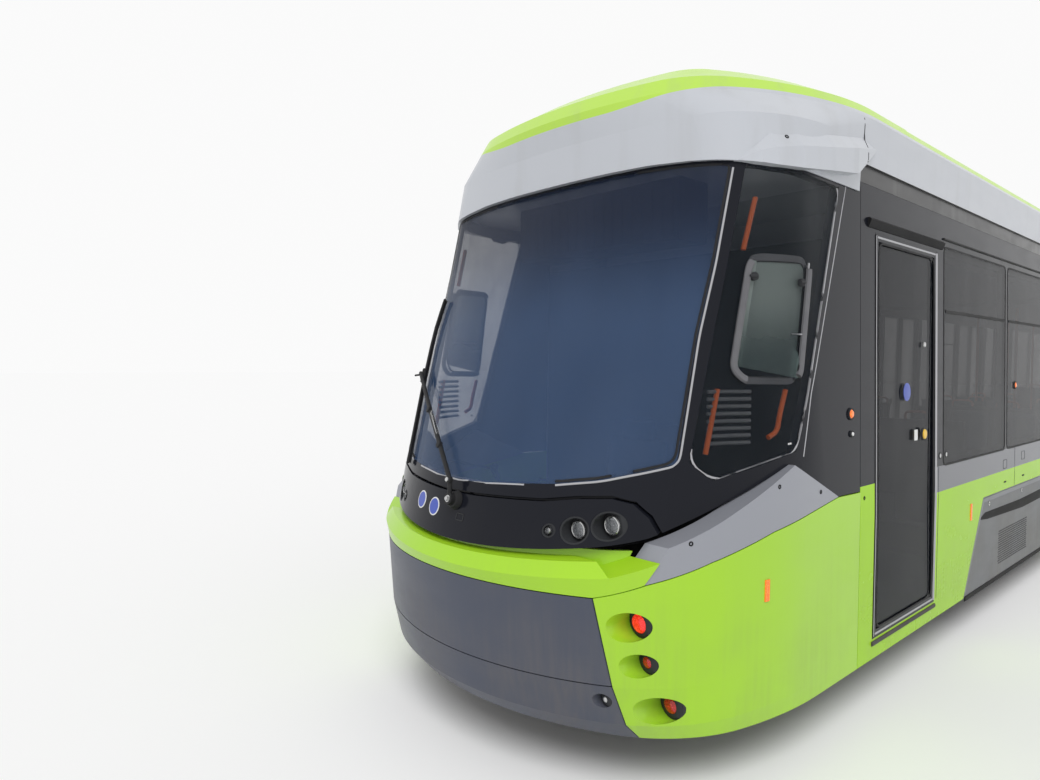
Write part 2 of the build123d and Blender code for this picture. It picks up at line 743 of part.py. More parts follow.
with BuildPart() as fairing:
    plans = [plan_section(z, nose, arcs, cowl_y(z), FAIRING_END) for z, nose, arcs in FAIRING_PLANS]
    loft(sections=plans, ruled=True)
with BuildPart() as brim:
    add(fairing.part)
    add(block((NOSE_X + BRIM_END, -WIDE, BRIM_Z), (NOSE_X + AHEAD, WIDE, ROOF_Z)), mode=Mode.INTERSECT)
    arch = mirrored([(BRIM_ARCH[0][0], BRIM_Z - 1), *BRIM_ARCH])
    add(front_prism(arch, NOSE_X - CAB_REACH, NOSE_X + AHEAD), mode=Mode.SUBTRACT)
with BuildPart() as cab_roof:
    add(fairing.part)
    add(block((PIVOT_OUT, -WIDE, ROOF_Z), (NOSE_X + AHEAD, WIDE, COWL_Z)), mode=Mode.INTERSECT)
    add(brim.part)
    _, nose, arcs = FAIRING_PLANS[-1]
    loft(
        sections=[plan_section(z, nose, arcs, COWL_TOP_W, FAIRING_END, inset) for z, inset in DOME],
        ruled=True,
    )
    for side in (-1, 1):
        low, high = sorted((side * GUTTER_W, side * WIDE))
        gutter = block((NOSE_X + FAIRING_END - 1, low, ROOF_Z - 1), (NOSE_X + BRIM_END, high, GUTTER_Z))
        add(gutter, mode=Mode.SUBTRACT)
    add(left_pod.part)
    add(left_pod.part.mirror(Plane.XZ))
    add(cage_solid(-SEAT, CAB_END - 200, CAGE_LOW_Z, ROOF_Z), mode=Mode.SUBTRACT)
    add(saloon_roof(PIVOT_OUT + GAP / 2, NOSE_X + FAIRING_END, CAB_UNITS))

# Floors and articulations
LOW_Z = HIGH_FLOOR_Z - HIGH_SLAB
CASE_T = 12.0
CASE_TOP_Z = AXLE_Z + FLANGE_R + WHEEL_ROOM
CASE_IN_Y = WHEEL_BACK - 80.0
CASE_OUT_Y = WHEEL_BACK + FLANGE_W + TYRE_W + 25.0
BULKHEAD_T = 50.0
BOGIE_ROOM = 150.0
BOGIE_REACH = WHEELBASE / 2 + FLANGE_R + BOGIE_ROOM
ENTRANCE_X = CAB_BOGIE_X + BOGIE_REACH + RAMP
END_BEAM = 60.0
TURN_R = 560.0
TURN_T = 30.0
ARM_HALF = 110.0
ARM_T = 34.0
PIN_R = 50.0
FRAME_Z = 215.0
LOWER_ARMS = (266.0, 305.0)
ROOF_ARMS = (LEAN_TOP_Z, 2984.0)
BELLOWS_Z0 = FRAME_Z
BELLOWS_Z1 = 2890.0
BELLOWS_HALF = 1195.0
BELLOWS_T = 42.0
BELLOWS_R = 60.0
BELLOWS_IN_R = 40.0
PORTAL_IN = 115.0
PAD = 140.0
PAD_T = 20.0
PAD_Y = 1080.0
CAB_PAD_X = CAB_BOGIE_X + 1750.0


def arm(end_x, pivot_x, low, pinned):
    """A drawbar from a section's end to its pivot, with the pin or with the eye."""
    x0, x1 = sorted((end_x, pivot_x))
    with BuildPart() as bar_:
        add(block((x0, -ARM_HALF, low), (x1, ARM_HALF, low + ARM_T)))
        with Locations((pivot_x, 0, low)):
            Cylinder(ARM_HALF, ARM_T, align=(Align.CENTER, Align.CENTER, Align.MIN))
            if not pinned:
                Cylinder(
                    PIN_R + JOURNAL_FIT,
                    ARM_T,
                    align=(Align.CENTER, Align.CENTER, Align.MIN),
                    mode=Mode.SUBTRACT,
                )
    return bar_.part


def pin(pivot_x, levels):
    """The upright pin of the lower arm, through both arms of a pivot."""
    low, high = levels
    with BuildPart() as pin_:
        with Locations((pivot_x, 0, low)):
            Cylinder(PIN_R, high + ARM_T - low, align=(Align.CENTER, Align.CENTER, Align.MIN))
    return pin_.part


def floor_outline(x0, x1, bogie_x):
    """Side view of a floor, raised by ramps over its bogie."""
    if bogie_x is None:
        return [(x0, FLOOR_Z), (x1, FLOOR_Z), (x1, SILL_Z), (x0, SILL_Z)]
    a, b = bogie_x - BOGIE_REACH, bogie_x + BOGIE_REACH
    top = [
        (x0, FLOOR_Z),
        (max(x0 + COWL_T, a - RAMP), FLOOR_Z),
        (a, HIGH_FLOOR_Z),
        (b, HIGH_FLOOR_Z),
        (min(x1 - COWL_T, b + RAMP), FLOOR_Z),
        (x1, FLOOR_Z),
    ]
    return top + [(x1, SILL_Z), (b, SILL_Z), (b, LOW_Z), (a, LOW_Z), (a, SILL_Z), (x0, SILL_Z)]


def jack_pads(places):
    """Square pads under the sills, where a workshop's jacks stand."""
    with BuildPart() as pads:
        for x in places:
            for y in (-PAD_Y, PAD_Y):
                with Locations((x, y, SILL_Z - PAD_T)):
                    Box(PAD, PAD, PAD_T, align=(Align.CENTER, Align.CENTER, Align.MIN))
    return pads.part


def underframe(x0, x1, bogie_x, ends, turntable):
    """A section's floor with its wheel cases, end beams, drawbars and turntable.

    ends lists the pivots at its ends: the end's x and the pivot's x.
    """
    half = HALF_W - SKIN
    with BuildPart() as floor:
        add(side_prism(floor_outline(x0, x1, bogie_x), -half, half))
        if bogie_x is not None:
            room = FLANGE_R + WHEEL_ROOM
            for x in (bogie_x - WHEELBASE / 2, bogie_x + WHEELBASE / 2):
                for low, high in ((CASE_IN_Y - CASE_T, half), (-half, CASE_T - CASE_IN_Y)):
                    top = CASE_TOP_Z + CASE_T
                    add(block((x - room - CASE_T, low, LOW_Z), (x + room + CASE_T, high, top)))
                for low, high in ((CASE_IN_Y, CASE_OUT_Y), (-CASE_OUT_Y, -CASE_IN_Y)):
                    wheel_space = block((x - room, low, SILL_Z - 1), (x + room, high, CASE_TOP_Z))
                    add(wheel_space, mode=Mode.SUBTRACT)
        for end_x, pivot_x in ends:
            inward = END_BEAM if pivot_x < end_x else -END_BEAM
            a, b = sorted((end_x, end_x + inward))
            add(block((a, -BELLOWS_HALF, FRAME_Z), (b, BELLOWS_HALF, SILL_Z)))
            if turntable:
                add(arm(end_x, pivot_x, LOWER_ARMS[1], False))
                with Locations((pivot_x, 0, FLOOR_Z - TURN_T)):
                    Cylinder(TURN_R, TURN_T, align=(Align.CENTER, Align.CENTER, Align.MIN))
            else:
                add(arm(end_x, pivot_x, LOWER_ARMS[0], True))
                add(pin(pivot_x, LOWER_ARMS))
                with Locations((pivot_x, 0, FLOOR_Z - TURN_T - SEAM)):
                    Cylinder(
                        TURN_R + SEAM,
                        TURN_T + SEAM + 1,
                        align=(Align.CENTER, Align.CENTER, Align.MIN),
                        mode=Mode.SUBTRACT,
                    )
    return floor.part


def roof_arms(ends, pinned):
    """The upper drawbars of a section, at roof level."""
    with BuildPart() as arms:
        for end_x, pivot_x in ends:
            add(arm(end_x, pivot_x, ROOF_ARMS[0] if pinned else ROOF_ARMS[1], pinned))
            if pinned:
                add(pin(pivot_x, ROOF_ARMS))
    return arms.part


def portal(end_x, pivot_x):
    """The left post of a section's end frame, which the bellows is clamped to."""
    inward = COWL_T if pivot_x < end_x else -COWL_T
    a, b = sorted((end_x, end_x + inward))
    return block((a, HALF_W - SKIN - PORTAL_IN, FLOOR_Z), (b, HALF_W - SKIN, CEILING_Z))


def bellows(x, label):
    """A closed sleeve that fills the gap between two sections."""
    reach = GAP / 2 - SEAT
    height = BELLOWS_Z1 - BELLOWS_Z0
    with BuildPart() as sleeve:
        with BuildSketch(Plane.YZ.offset(x - reach)):
            with Locations((0, (BELLOWS_Z0 + BELLOWS_Z1) / 2)):
                RectangleRounded(2 * BELLOWS_HALF, height, BELLOWS_R)
            with Locations((0, (BELLOWS_Z0 + BELLOWS_Z1 - PORTAL_IN + BELLOWS_T) / 2)):
                inner_w, inner_h = 2 * (BELLOWS_HALF - PORTAL_IN), height - BELLOWS_T - PORTAL_IN
                RectangleRounded(inner_w, inner_h, BELLOWS_IN_R, mode=Mode.SUBTRACT)
        extrude(amount=2 * reach)
    sleeve.part.label = label
    return sleeve.part


# Bogies and wheelsets
FRAME_Y = 950.0
BEAM_W = 120.0
BEAM_TOP_Z = LOW_Z - 12.0
BEAM_LOW_Z = 245.0
BOX_REACH = 165.0


def wheelset(x, label):
    """An axle with its two wheels, turned as one profile."""
    back, tread = WHEEL_BACK, WHEEL_BACK + FLANGE_W
    face = WHEEL_BACK + FLANGE_W + TYRE_W
    web = (back + face) / 2
    rim_r = WHEEL_R - 55.0
    half = [
        (0.0, 0.0),
        (0.0, AXLE_R),
        (back - 30, AXLE_R),
        (back - 30, HUB_R),
        (web - WEB_W / 2, HUB_R),
        (web - WEB_W / 2, rim_r),
        (back, rim_r),
        (back, FLANGE_R - 6),
        (back + 8, FLANGE_R),
        (back + 18, FLANGE_R - 4),
        (tread, WHEEL_R),
        (face, WHEEL_R - 4),
        (face, rim_r),
        (web + WEB_W / 2, rim_r),
        (web + WEB_W / 2, HUB_R),
        (face, HUB_R),
        (face, AXLE_R),
        (FRAME_Y + BEAM_W / 2 + 10, AXLE_R),
        (FRAME_Y + BEAM_W / 2 + 10, 0.0),
    ]
    with BuildPart() as wheels:
        with BuildSketch(Plane(origin=(x, 0, AXLE_Z), x_dir=(0, 1, 0), z_dir=(1, 0, 0))):
            with BuildLine():
                Polyline(*half, close=True)
            make_face()
        revolve(axis=Axis((x, 0, AXLE_Z), (0, 1, 0)), revolution_arc=360)
        mirror(about=Plane.XZ)
    wheels.part.label = label
    return wheels.part


def bogie_frame(x, label):
    """Outside frame with axle boxes, cross beams, springs, motors and track brakes."""
    reach = WHEELBASE / 2
    beam = [
        (x - reach - BOX_REACH, BEAM_LOW_Z),
        (x - reach - BOX_REACH, BEAM_TOP_Z),
        (x - reach + BOX_REACH, BEAM_TOP_Z),
        (x - reach + 330, 330.0),
        (x + reach - 330, 330.0),
        (x + reach - BOX_REACH, BEAM_TOP_Z),
        (x + reach + BOX_REACH, BEAM_TOP_Z),
        (x + reach + BOX_REACH, BEAM_LOW_Z),
        (x + reach - 260, 190.0),
        (x - reach + 260, 190.0),
    ]
    with BuildPart() as frame:
        add(side_prism(beam, FRAME_Y - BEAM_W / 2, FRAME_Y + BEAM_W / 2))
        for axle in (-1, 1):
            with Locations(Location((x + axle * reach, FRAME_Y, AXLE_Z), (90, 0, 0))):
                Cylinder(AXLE_R + JOURNAL_FIT, BEAM_W + 2, mode=Mode.SUBTRACT)
        mirror(about=Plane.XZ)
        for end in (-1, 1):
            low, high = sorted((x + end * 260, x + end * 420))
            add(block((low, -FRAME_Y, 200.0), (high, FRAME_Y, 320.0)))
            low, high = sorted((x + end * 300, x + end * 560))
            add(block((low, -420, 180.0), (high, 420, 370.0)))
        for side in (-1, 1):
            with Locations((x, side * FRAME_Y, 330.0)):
                Cylinder(100, LOW_Z - SEAT - 330.0, align=(Align.CENTER, Align.CENTER, Align.MIN))
            low, high = sorted((side * (WHEEL_BACK + 20), side * (WHEEL_BACK + 90)))
            add(block((x - 430, low, FLANGE + 12), (x + 430, high, 130.0)))
            for end in (-1, 1):
                a, b = sorted((x + end * 320, x + end * 380))
                add(block((a, low, 120.0), (b, high, 210.0)))
    frame.part.label = label
    return frame.part


# Seats: the shell's outline from its front foot, for a row that faces +X
SEAT_SHELL = (
    (-60.0, 0.0),
    (340.0, 0.0),
    (380.0, -60.0),
    (400.0, 20.0),
    (0.0, 60.0),
    (-110.0, 600.0),
    (-160.0, 600.0),
)
SEAT_IN_Y = 300.0
POLE_R = 17.0


def seat_row(x, facing, base, height):
    """A pair of seats against the left wall, on a plinth from base up to the cushion's height."""
    outer = HALF_W - SKIN - 60.0
    shell = [(x + facing * a, height + b) for a, b in SEAT_SHELL]
    plinth = [(x, base), (x + facing * 280, base), (x + facing * 280, height), (x, height)]
    with BuildPart() as row:
        add(side_prism(shell, SEAT_IN_Y, outer))
        add(side_prism(plinth, SEAT_IN_Y + 320, outer - 60))
    return row.part


def pole(x, y, base):
    """A grab pole from the floor to the ceiling."""
    with BuildPart() as post:
        with Locations((x, y, base)):
            Cylinder(POLE_R, CEILING_Z - base, align=(Align.CENTER, Align.CENTER, Align.MIN))
    return post.part


CASE_SEAT_Z = CASE_TOP_Z + CASE_T
# Rows of seats: x of the back's foot, facing, height of what they stand on, cushion height
CENTRE_ROWS = ((-1080.0, 1, CASE_SEAT_Z, 920.0), (1080.0, -1, CASE_SEAT_Z, 920.0))
SIDE_ROWS = ((4900.0, 1, FLOOR_Z, 830.0), (6230.0, -1, FLOOR_Z, 830.0))
CAB_ROWS = (
    (CAB_BOGIE_X - 1080.0, 1, CASE_SEAT_Z, 920.0),
    (CAB_BOGIE_X + 1080.0, -1, CASE_SEAT_Z, 920.0),
)
SIDE_POLES = ((3000.0, 480.0), (4800.0, 420.0), (6350.0, 420.0), (8150.0, 480.0))
CAB_POLES = ((13160.0, 480.0),)


def fittings(rows, poles, label):
    """Seats and grab poles of a section, both sides."""
    with BuildPart() as inside:
        for x, facing, base, height in rows:
            add(seat_row(x, facing, base, height))
        for x, y in poles:
            add(pole(x, y, FLOOR_Z))
        mirror(about=Plane.XZ)
    inside.part.label = label
    return inside.part


# Cab interior: driver's desk, seat, sign case and the wall behind
DESK = (
    (-350.0, 1180.0),
    (-700.0, 1230.0),
    (-830.0, 1150.0),
    (-620.0, 1100.0),
    (-520.0, FLOOR_Z),
    (-380.0, FLOOR_Z),
)
DESK_HALF = 520.0
DRIVER_SEAT_HALF = 260.0
SIGN_CASE = ((NOSE_X - 1380.0, -620.0, 2600.0), (NOSE_X - 1120.0, 620.0, ROOF_Z))
CAB_WALL = (NOSE_X + CAB_END + 5.0, NOSE_X + CAB_END + 35.0)
DRIVER_SEAT = (
    (-1500.0, FLOOR_Z),
    (-1250.0, FLOOR_Z),
    (-1230.0, 800.0),
    (-1050.0, 830.0),
    (-1060.0, 900.0),
    (-1480.0, 880.0),
    (-1620.0, 1560.0),
    (-1690.0, 1560.0),
    (-1580.0, 820.0),
)
with BuildPart() as cab_fit_front:
    add(side_prism(cab_line(DESK), -DESK_HALF, DESK_HALF))
    add(side_prism(cab_line(DRIVER_SEAT), -DRIVER_SEAT_HALF, DRIVER_SEAT_HALF))
    add(block(*SIGN_CASE))
    wall = HALF_W - PANEL_T - BULKHEAD_T - SEAT
    add(block((CAB_WALL[0], -wall, FLOOR_Z), (CAB_WALL[1], wall, CEILING_Z)))
cab_fit_front.part.label = "cab_fit_front"


# Pantograph
PIVOT_R = 25.0
KNEE_R = 45.0
KNEE_PIN_R = 20.0
HEAD_PIN_R = 16.0
PANTO_REST = 1.0
STRIP_HALF = 560.0
HORN_DROP = 120.0
HORN_R = 11.0


def cross_hole(x, z, radius, half):
    """A hole across the tram."""
    return bar((x, -half, z), (x, half, z), radius)


KNEE_X = PANTO_X - PANTO_LOWER * cos(radians(PANTO_FOLD))
KNEE_Z = PANTO_Z + PANTO_LOWER * sin(radians(PANTO_FOLD))
HEAD_X = KNEE_X + PANTO_UPPER * cos(radians(PANTO_REST))
HEAD_Z = KNEE_Z + PANTO_UPPER * sin(radians(PANTO_REST))

with BuildPart() as panto_base:
    for y in (-420.0, 420.0):
        add(block((-500, y - 30, PAN_Z + 90), (900, y + 30, PAN_Z + 150)))
        for x in (-400.0, 800.0):
            with Locations((x, y, PAN_Z)):
                Cylinder(45, 90, align=(Align.CENTER, Align.CENTER, Align.MIN))
    add(block((PANTO_X - 40, -450, PAN_Z + 90), (PANTO_X + 40, 450, PAN_Z + 150)))
    for y in (-330.0, 330.0):
        add(block((PANTO_X - 40, y - 15, PAN_Z + 150), (PANTO_X + 40, y + 15, PANTO_Z + 45)))
    add(cross_hole(PANTO_X, PANTO_Z, PIVOT_R + JOURNAL_FIT, 400), mode=Mode.SUBTRACT)
panto_base.part.label = "panto_base"

with BuildPart() as panto_lower:
    add(bar((PANTO_X, -350, PANTO_Z), (PANTO_X, 350, PANTO_Z), PIVOT_R))
    add(bar((PANTO_X, 0, PANTO_Z), (KNEE_X, 0, KNEE_Z), 38.0))
    add(bar((KNEE_X, -70, KNEE_Z), (KNEE_X, 70, KNEE_Z), KNEE_R))
    add(cross_hole(KNEE_X, KNEE_Z, KNEE_PIN_R + JOURNAL_FIT, 100), mode=Mode.SUBTRACT)
panto_lower.part.label = "panto_lower"

with BuildPart() as panto_upper:
    add(bar((KNEE_X, -115, KNEE_Z), (KNEE_X, 115, KNEE_Z), KNEE_PIN_R))
    for side in (-1, 1):
        a, b = sorted((side * 75, side * 115))
        add(bar((KNEE_X, a, KNEE_Z), (KNEE_X, b, KNEE_Z), KNEE_R))
        add(bar((KNEE_X, side * 95, KNEE_Z), (HEAD_X, side * 285, HEAD_Z), 18.0))
    add(bar((HEAD_X, -355, HEAD_Z), (HEAD_X, 355, HEAD_Z), HEAD_PIN_R))
panto_upper.part.label = "panto_upper"

with BuildPart() as panto_head:
    for x in (-190.0, 190.0):
        add(block((HEAD_X + x - 30, -STRIP_HALF, HEAD_Z + 60), (HEAD_X + x + 30, STRIP_HALF, HEAD_Z + 85)))
        for side in (-1, 1):
            bend = (HEAD_X + x, side * (STRIP_HALF - 20), HEAD_Z + 72)
            add(bar(bend, (HEAD_X + x, side * PAN_HALF, HEAD_Z + 72 - HORN_DROP), HORN_R))
    for y in (-335.0, 335.0):
        add(block((HEAD_X - 30, y - 12, HEAD_Z - 30), (HEAD_X + 30, y + 12, HEAD_Z + 60)))
        add(block((HEAD_X - 220, y - 12, HEAD_Z + 30), (HEAD_X + 220, y + 12, HEAD_Z + 60)))
    add(cross_hole(HEAD_X, HEAD_Z, HEAD_PIN_R + JOURNAL_FIT, 400), mode=Mode.SUBTRACT)
panto_head.part.label = "panto_head"

# Everything that is written out, by node name
nodes = {}
for made in (
    nose_panels_front, corner_panels_front, shoulder_panels_front,
    mask_front, cab_fit_front, lamps_front, wiper_front,
):
    nodes[made.part.label] = made.part
for made in (panto_base, panto_lower, panto_upper, panto_head):
    nodes[made.part.label] = made.part

CAB_COVER = (CAB_BOGIE_X - COVER_HALF, CAB_BOGIE_X + COVER_HALF)
CENTRE_COVER = (-COVER_HALF, COVER_HALF)
cab_span = (PIVOT_OUT + GAP / 2, NOSE_X + CAB_END - SEAM)
side_span = (PIVOT_IN + GAP / 2, PIVOT_OUT - GAP / 2)
centre_span = (-PIVOT_IN + GAP / 2, PIVOT_IN - GAP / 2)
cab_ends = ((cab_span[0], PIVOT_OUT),)
side_ends = ((side_span[0], PIVOT_IN), (side_span[1], PIVOT_OUT))
centre_ends = ((centre_span[0], -PIVOT_IN), (centre_span[1], PIVOT_IN))

with BuildPart() as roof_front:
    add(cab_roof.part)
    add(roof_arms(cab_ends, False))
nodes["roof_front"] = roof_front.part

with BuildPart() as cab_glass_left:
    add(side_glass(CAB_BAYS))
with BuildPart() as windscreen:
    add(cage_outer)
    add(glass_inner, mode=Mode.SUBTRACT)
    add(front_prism(mirrored(SCREEN_EDGE), NOSE_X - CAB_REACH, NOSE_X + AHEAD), mode=Mode.INTERSECT)
with BuildPart() as cab_window:
    add(cage_outer)
    add(glass_inner, mode=Mode.SUBTRACT)
    add(side_prism(cab_line(SIDE_WINDOW), 850.0, HALF_W + 10), mode=Mode.INTERSECT)

with BuildPart() as glazing_front:
    add(cab_glass_left.part)
    add(cab_window.part)
    mirror(about=Plane.XZ)
    add(windscreen.part)
nodes["glazing_front"] = glazing_front.part

with BuildPart() as cab_wall:
    add(left_wall(*cab_span, CAB_BAYS, CAB_COVER, cab_ends))
    add(left_cover(*CAB_COVER))
nodes["walls_front"] = both_sides(cab_wall.part, "walls_front")
nodes["doors_front"] = both_sides(left_doors(CAB_BAYS), "doors_front")
with BuildPart() as cab_tub:
    add(lower_solid(PANEL_T + SEAT, CAB_END, SILL_Z, BELT_Z - SEAT))
    add(lower_solid(PANEL_T + BULKHEAD_T, CAB_END - 1, FLOOR_Z, BELT_Z), mode=Mode.SUBTRACT)
    for side in (-1, 1):
        cup_room = bores(TAIL_BORES, BORE_TILT, None, LAMP_T + CUP_T + SEAT, CUP_T + SEAT, side)
        add(cup_room, mode=Mode.SUBTRACT)
        add(bores(BUMPER_BORES, BORE_TILT, None, LAMP_T + SEAT, SEAT, side), mode=Mode.SUBTRACT)
with BuildPart() as floor_front:
    add(underframe(cab_span[0], NOSE_X + CAB_END - SEAT, CAB_BOGIE_X, cab_ends, True))
    # The entrance's floor is a panel of its own, laid at the foot of the ramp
    low, high = (ENTRANCE_X, -HALF_W, SILL_Z - 1), (ENTRANCE_X + SEAT, HALF_W, FLOOR_Z + 1)
    add(block(low, high), mode=Mode.SUBTRACT)
    add(cab_tub.part)
    add(jack_pads((CAB_PAD_X,)))
nodes["floor_front"] = floor_front.part
nodes["fittings_front"] = fittings(CAB_ROWS, CAB_POLES, "fittings_front")
nodes["bogie_front"] = bogie_frame(CAB_BOGIE_X, "bogie_front")

nodes["walls_second"] = both_sides(left_wall(*side_span, SIDE_BAYS, None, side_ends), "walls_second")
nodes["glazing_second"] = both_sides(side_glass(SIDE_BAYS), "glazing_second")
nodes["doors_second"] = both_sides(left_doors(SIDE_BAYS), "doors_second")
with BuildPart() as roof_second:
    add(saloon_roof(*side_span, SIDE_UNITS))
    add(roof_arms(side_ends, True))
nodes["roof_second"] = roof_second.part
nodes["floor_second"] = underframe(*side_span, None, side_ends, False)
nodes["fittings_second"] = fittings(SIDE_ROWS, SIDE_POLES, "fittings_second")

# The rear half of the tram is the front half turned about the middle
REAR_NAMES = {"_front": "_rear", "_second": "_fourth"}
for name, part in list(nodes.items()):
    for end, other in REAR_NAMES.items():
        if name.endswith(end):
            with BuildPart() as turned:
                add(part.rotate(Axis.Z, 180))
            nodes[name.replace(end, other)] = turned.part

with BuildPart() as centre_wall:
    add(left_wall(*centre_span, CENTRE_BAYS, CENTRE_COVER, centre_ends))
    add(left_cover(*CENTRE_COVER))
nodes["walls_centre"] = both_sides(centre_wall.part, "walls_centre")
nodes["glazing_centre"] = both_sides(side_glass(CENTRE_BAYS), "glazing_centre")
with BuildPart() as roof_centre:
    add(saloon_roof(*centre_span, CENTRE_UNITS))
    add(roof_arms(centre_ends, False))
nodes["roof_centre"] = roof_centre.part
nodes["floor_centre"] = underframe(*centre_span, 0.0, centre_ends, True)
nodes["fittings_centre"] = fittings(CENTRE_ROWS, (), "fittings_centre")
nodes["bogie_centre"] = bogie_frame(0.0, "bogie_centre")

for name, x in (("front", CAB_BOGIE_X), ("centre", 0.0), ("rear", -CAB_BOGIE_X)):
    nodes[f"wheelset_{name}_a"] = wheelset(x + WHEELBASE / 2, f"wheelset_{name}_a")
    nodes[f"wheelset_{name}_b"] = wheelset(x - WHEELBASE / 2, f"wheelset_{name}_b")
for name, x in (("1", PIVOT_OUT), ("2", PIVOT_IN), ("3", -PIVOT_IN), ("4", -PIVOT_OUT)):
    nodes[f"bellows_{name}"] = bellows(x, f"bellows_{name}")

os.makedirs("parts", exist_ok=True)
for name, part in nodes.items():
    part.label = name
    export_step(part, f"parts/{name}.step")
print(len(nodes), "nodes written")
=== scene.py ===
"""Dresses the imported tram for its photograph: finishes, trim, interior, light and camera.

Everything is in metres in the part's own frame: +X to the front cab, +Y to the left side,
+Z up, with the origin on the floor under the middle of the tram.
"""

import logging
import math
from dataclasses import dataclass, field
from enum import Enum
from typing import Callable, Iterable, Sequence

import bmesh
import bpy
from mathutils import Matrix, Vector
from mathutils.bvhtree import BVHTree


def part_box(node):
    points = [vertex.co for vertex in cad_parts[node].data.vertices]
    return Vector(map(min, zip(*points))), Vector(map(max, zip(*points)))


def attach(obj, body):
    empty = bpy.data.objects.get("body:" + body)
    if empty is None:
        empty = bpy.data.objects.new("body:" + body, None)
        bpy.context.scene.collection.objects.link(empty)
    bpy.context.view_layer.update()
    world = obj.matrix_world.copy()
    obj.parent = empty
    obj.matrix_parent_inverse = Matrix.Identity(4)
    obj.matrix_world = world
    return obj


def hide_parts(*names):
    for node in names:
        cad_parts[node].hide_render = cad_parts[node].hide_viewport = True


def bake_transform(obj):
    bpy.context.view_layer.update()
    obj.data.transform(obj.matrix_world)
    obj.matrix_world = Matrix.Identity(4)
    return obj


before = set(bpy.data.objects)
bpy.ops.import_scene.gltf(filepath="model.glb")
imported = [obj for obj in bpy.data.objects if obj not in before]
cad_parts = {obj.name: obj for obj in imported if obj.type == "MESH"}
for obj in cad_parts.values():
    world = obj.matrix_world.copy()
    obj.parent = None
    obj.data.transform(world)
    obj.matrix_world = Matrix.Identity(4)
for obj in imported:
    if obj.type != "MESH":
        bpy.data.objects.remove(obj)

logging.basicConfig(level=logging.INFO, format="%(levelname)s %(message)s")
log = logging.getLogger("tram")

Point = tuple[float, float, float]
Colour = tuple[float, float, float]
Path = Sequence[Point]
TWINS = {"front": ("front", "rear"), "second": ("second", "fourth")}
NOSE_X = 16.325
CAB_END_X = NOSE_X - 1.9
BOGIE_X = 11.1
UP = Vector((0.0, 0.0, 1.0))
LEFT = Vector((0.0, 1.0, 0.0))
TURN = Matrix.Rotation(math.pi, 4, "Z")
MIRROR = Matrix.Scale(-1.0, 4, (0.0, 1.0, 0.0))


class Tint(Enum):
    """The colours of the livery and of the materials, as linear values."""

    LIME = (0.365, 0.66, 0.020)
    LIME_EDGE = (0.47, 0.73, 0.085)
    SLATE = (0.056, 0.066, 0.098)
    STRIPE = (0.20, 0.205, 0.225)
    SILVER = (0.51, 0.53, 0.57)
    SHOULDER = (0.31, 0.32, 0.36)
    BLACK = (0.010, 0.011, 0.016)
    COVER = (0.135, 0.14, 0.15)
    ROOF_GREY = (0.30, 0.31, 0.33)
    DUST = (0.19, 0.165, 0.135)
    SEAL = (0.012, 0.012, 0.013)
    TRIM = (0.42, 0.42, 0.44)
    ORANGE = (0.60, 0.11, 0.012)
    AMBER = (0.90, 0.16, 0.01)
    RED = (0.42, 0.008, 0.006)
    YELLOW = (0.80, 0.50, 0.03)
    BLUE = (0.03, 0.07, 0.42)
    WHITE = (0.72, 0.72, 0.72)
    CLEAR = (0.16, 0.17, 0.18)


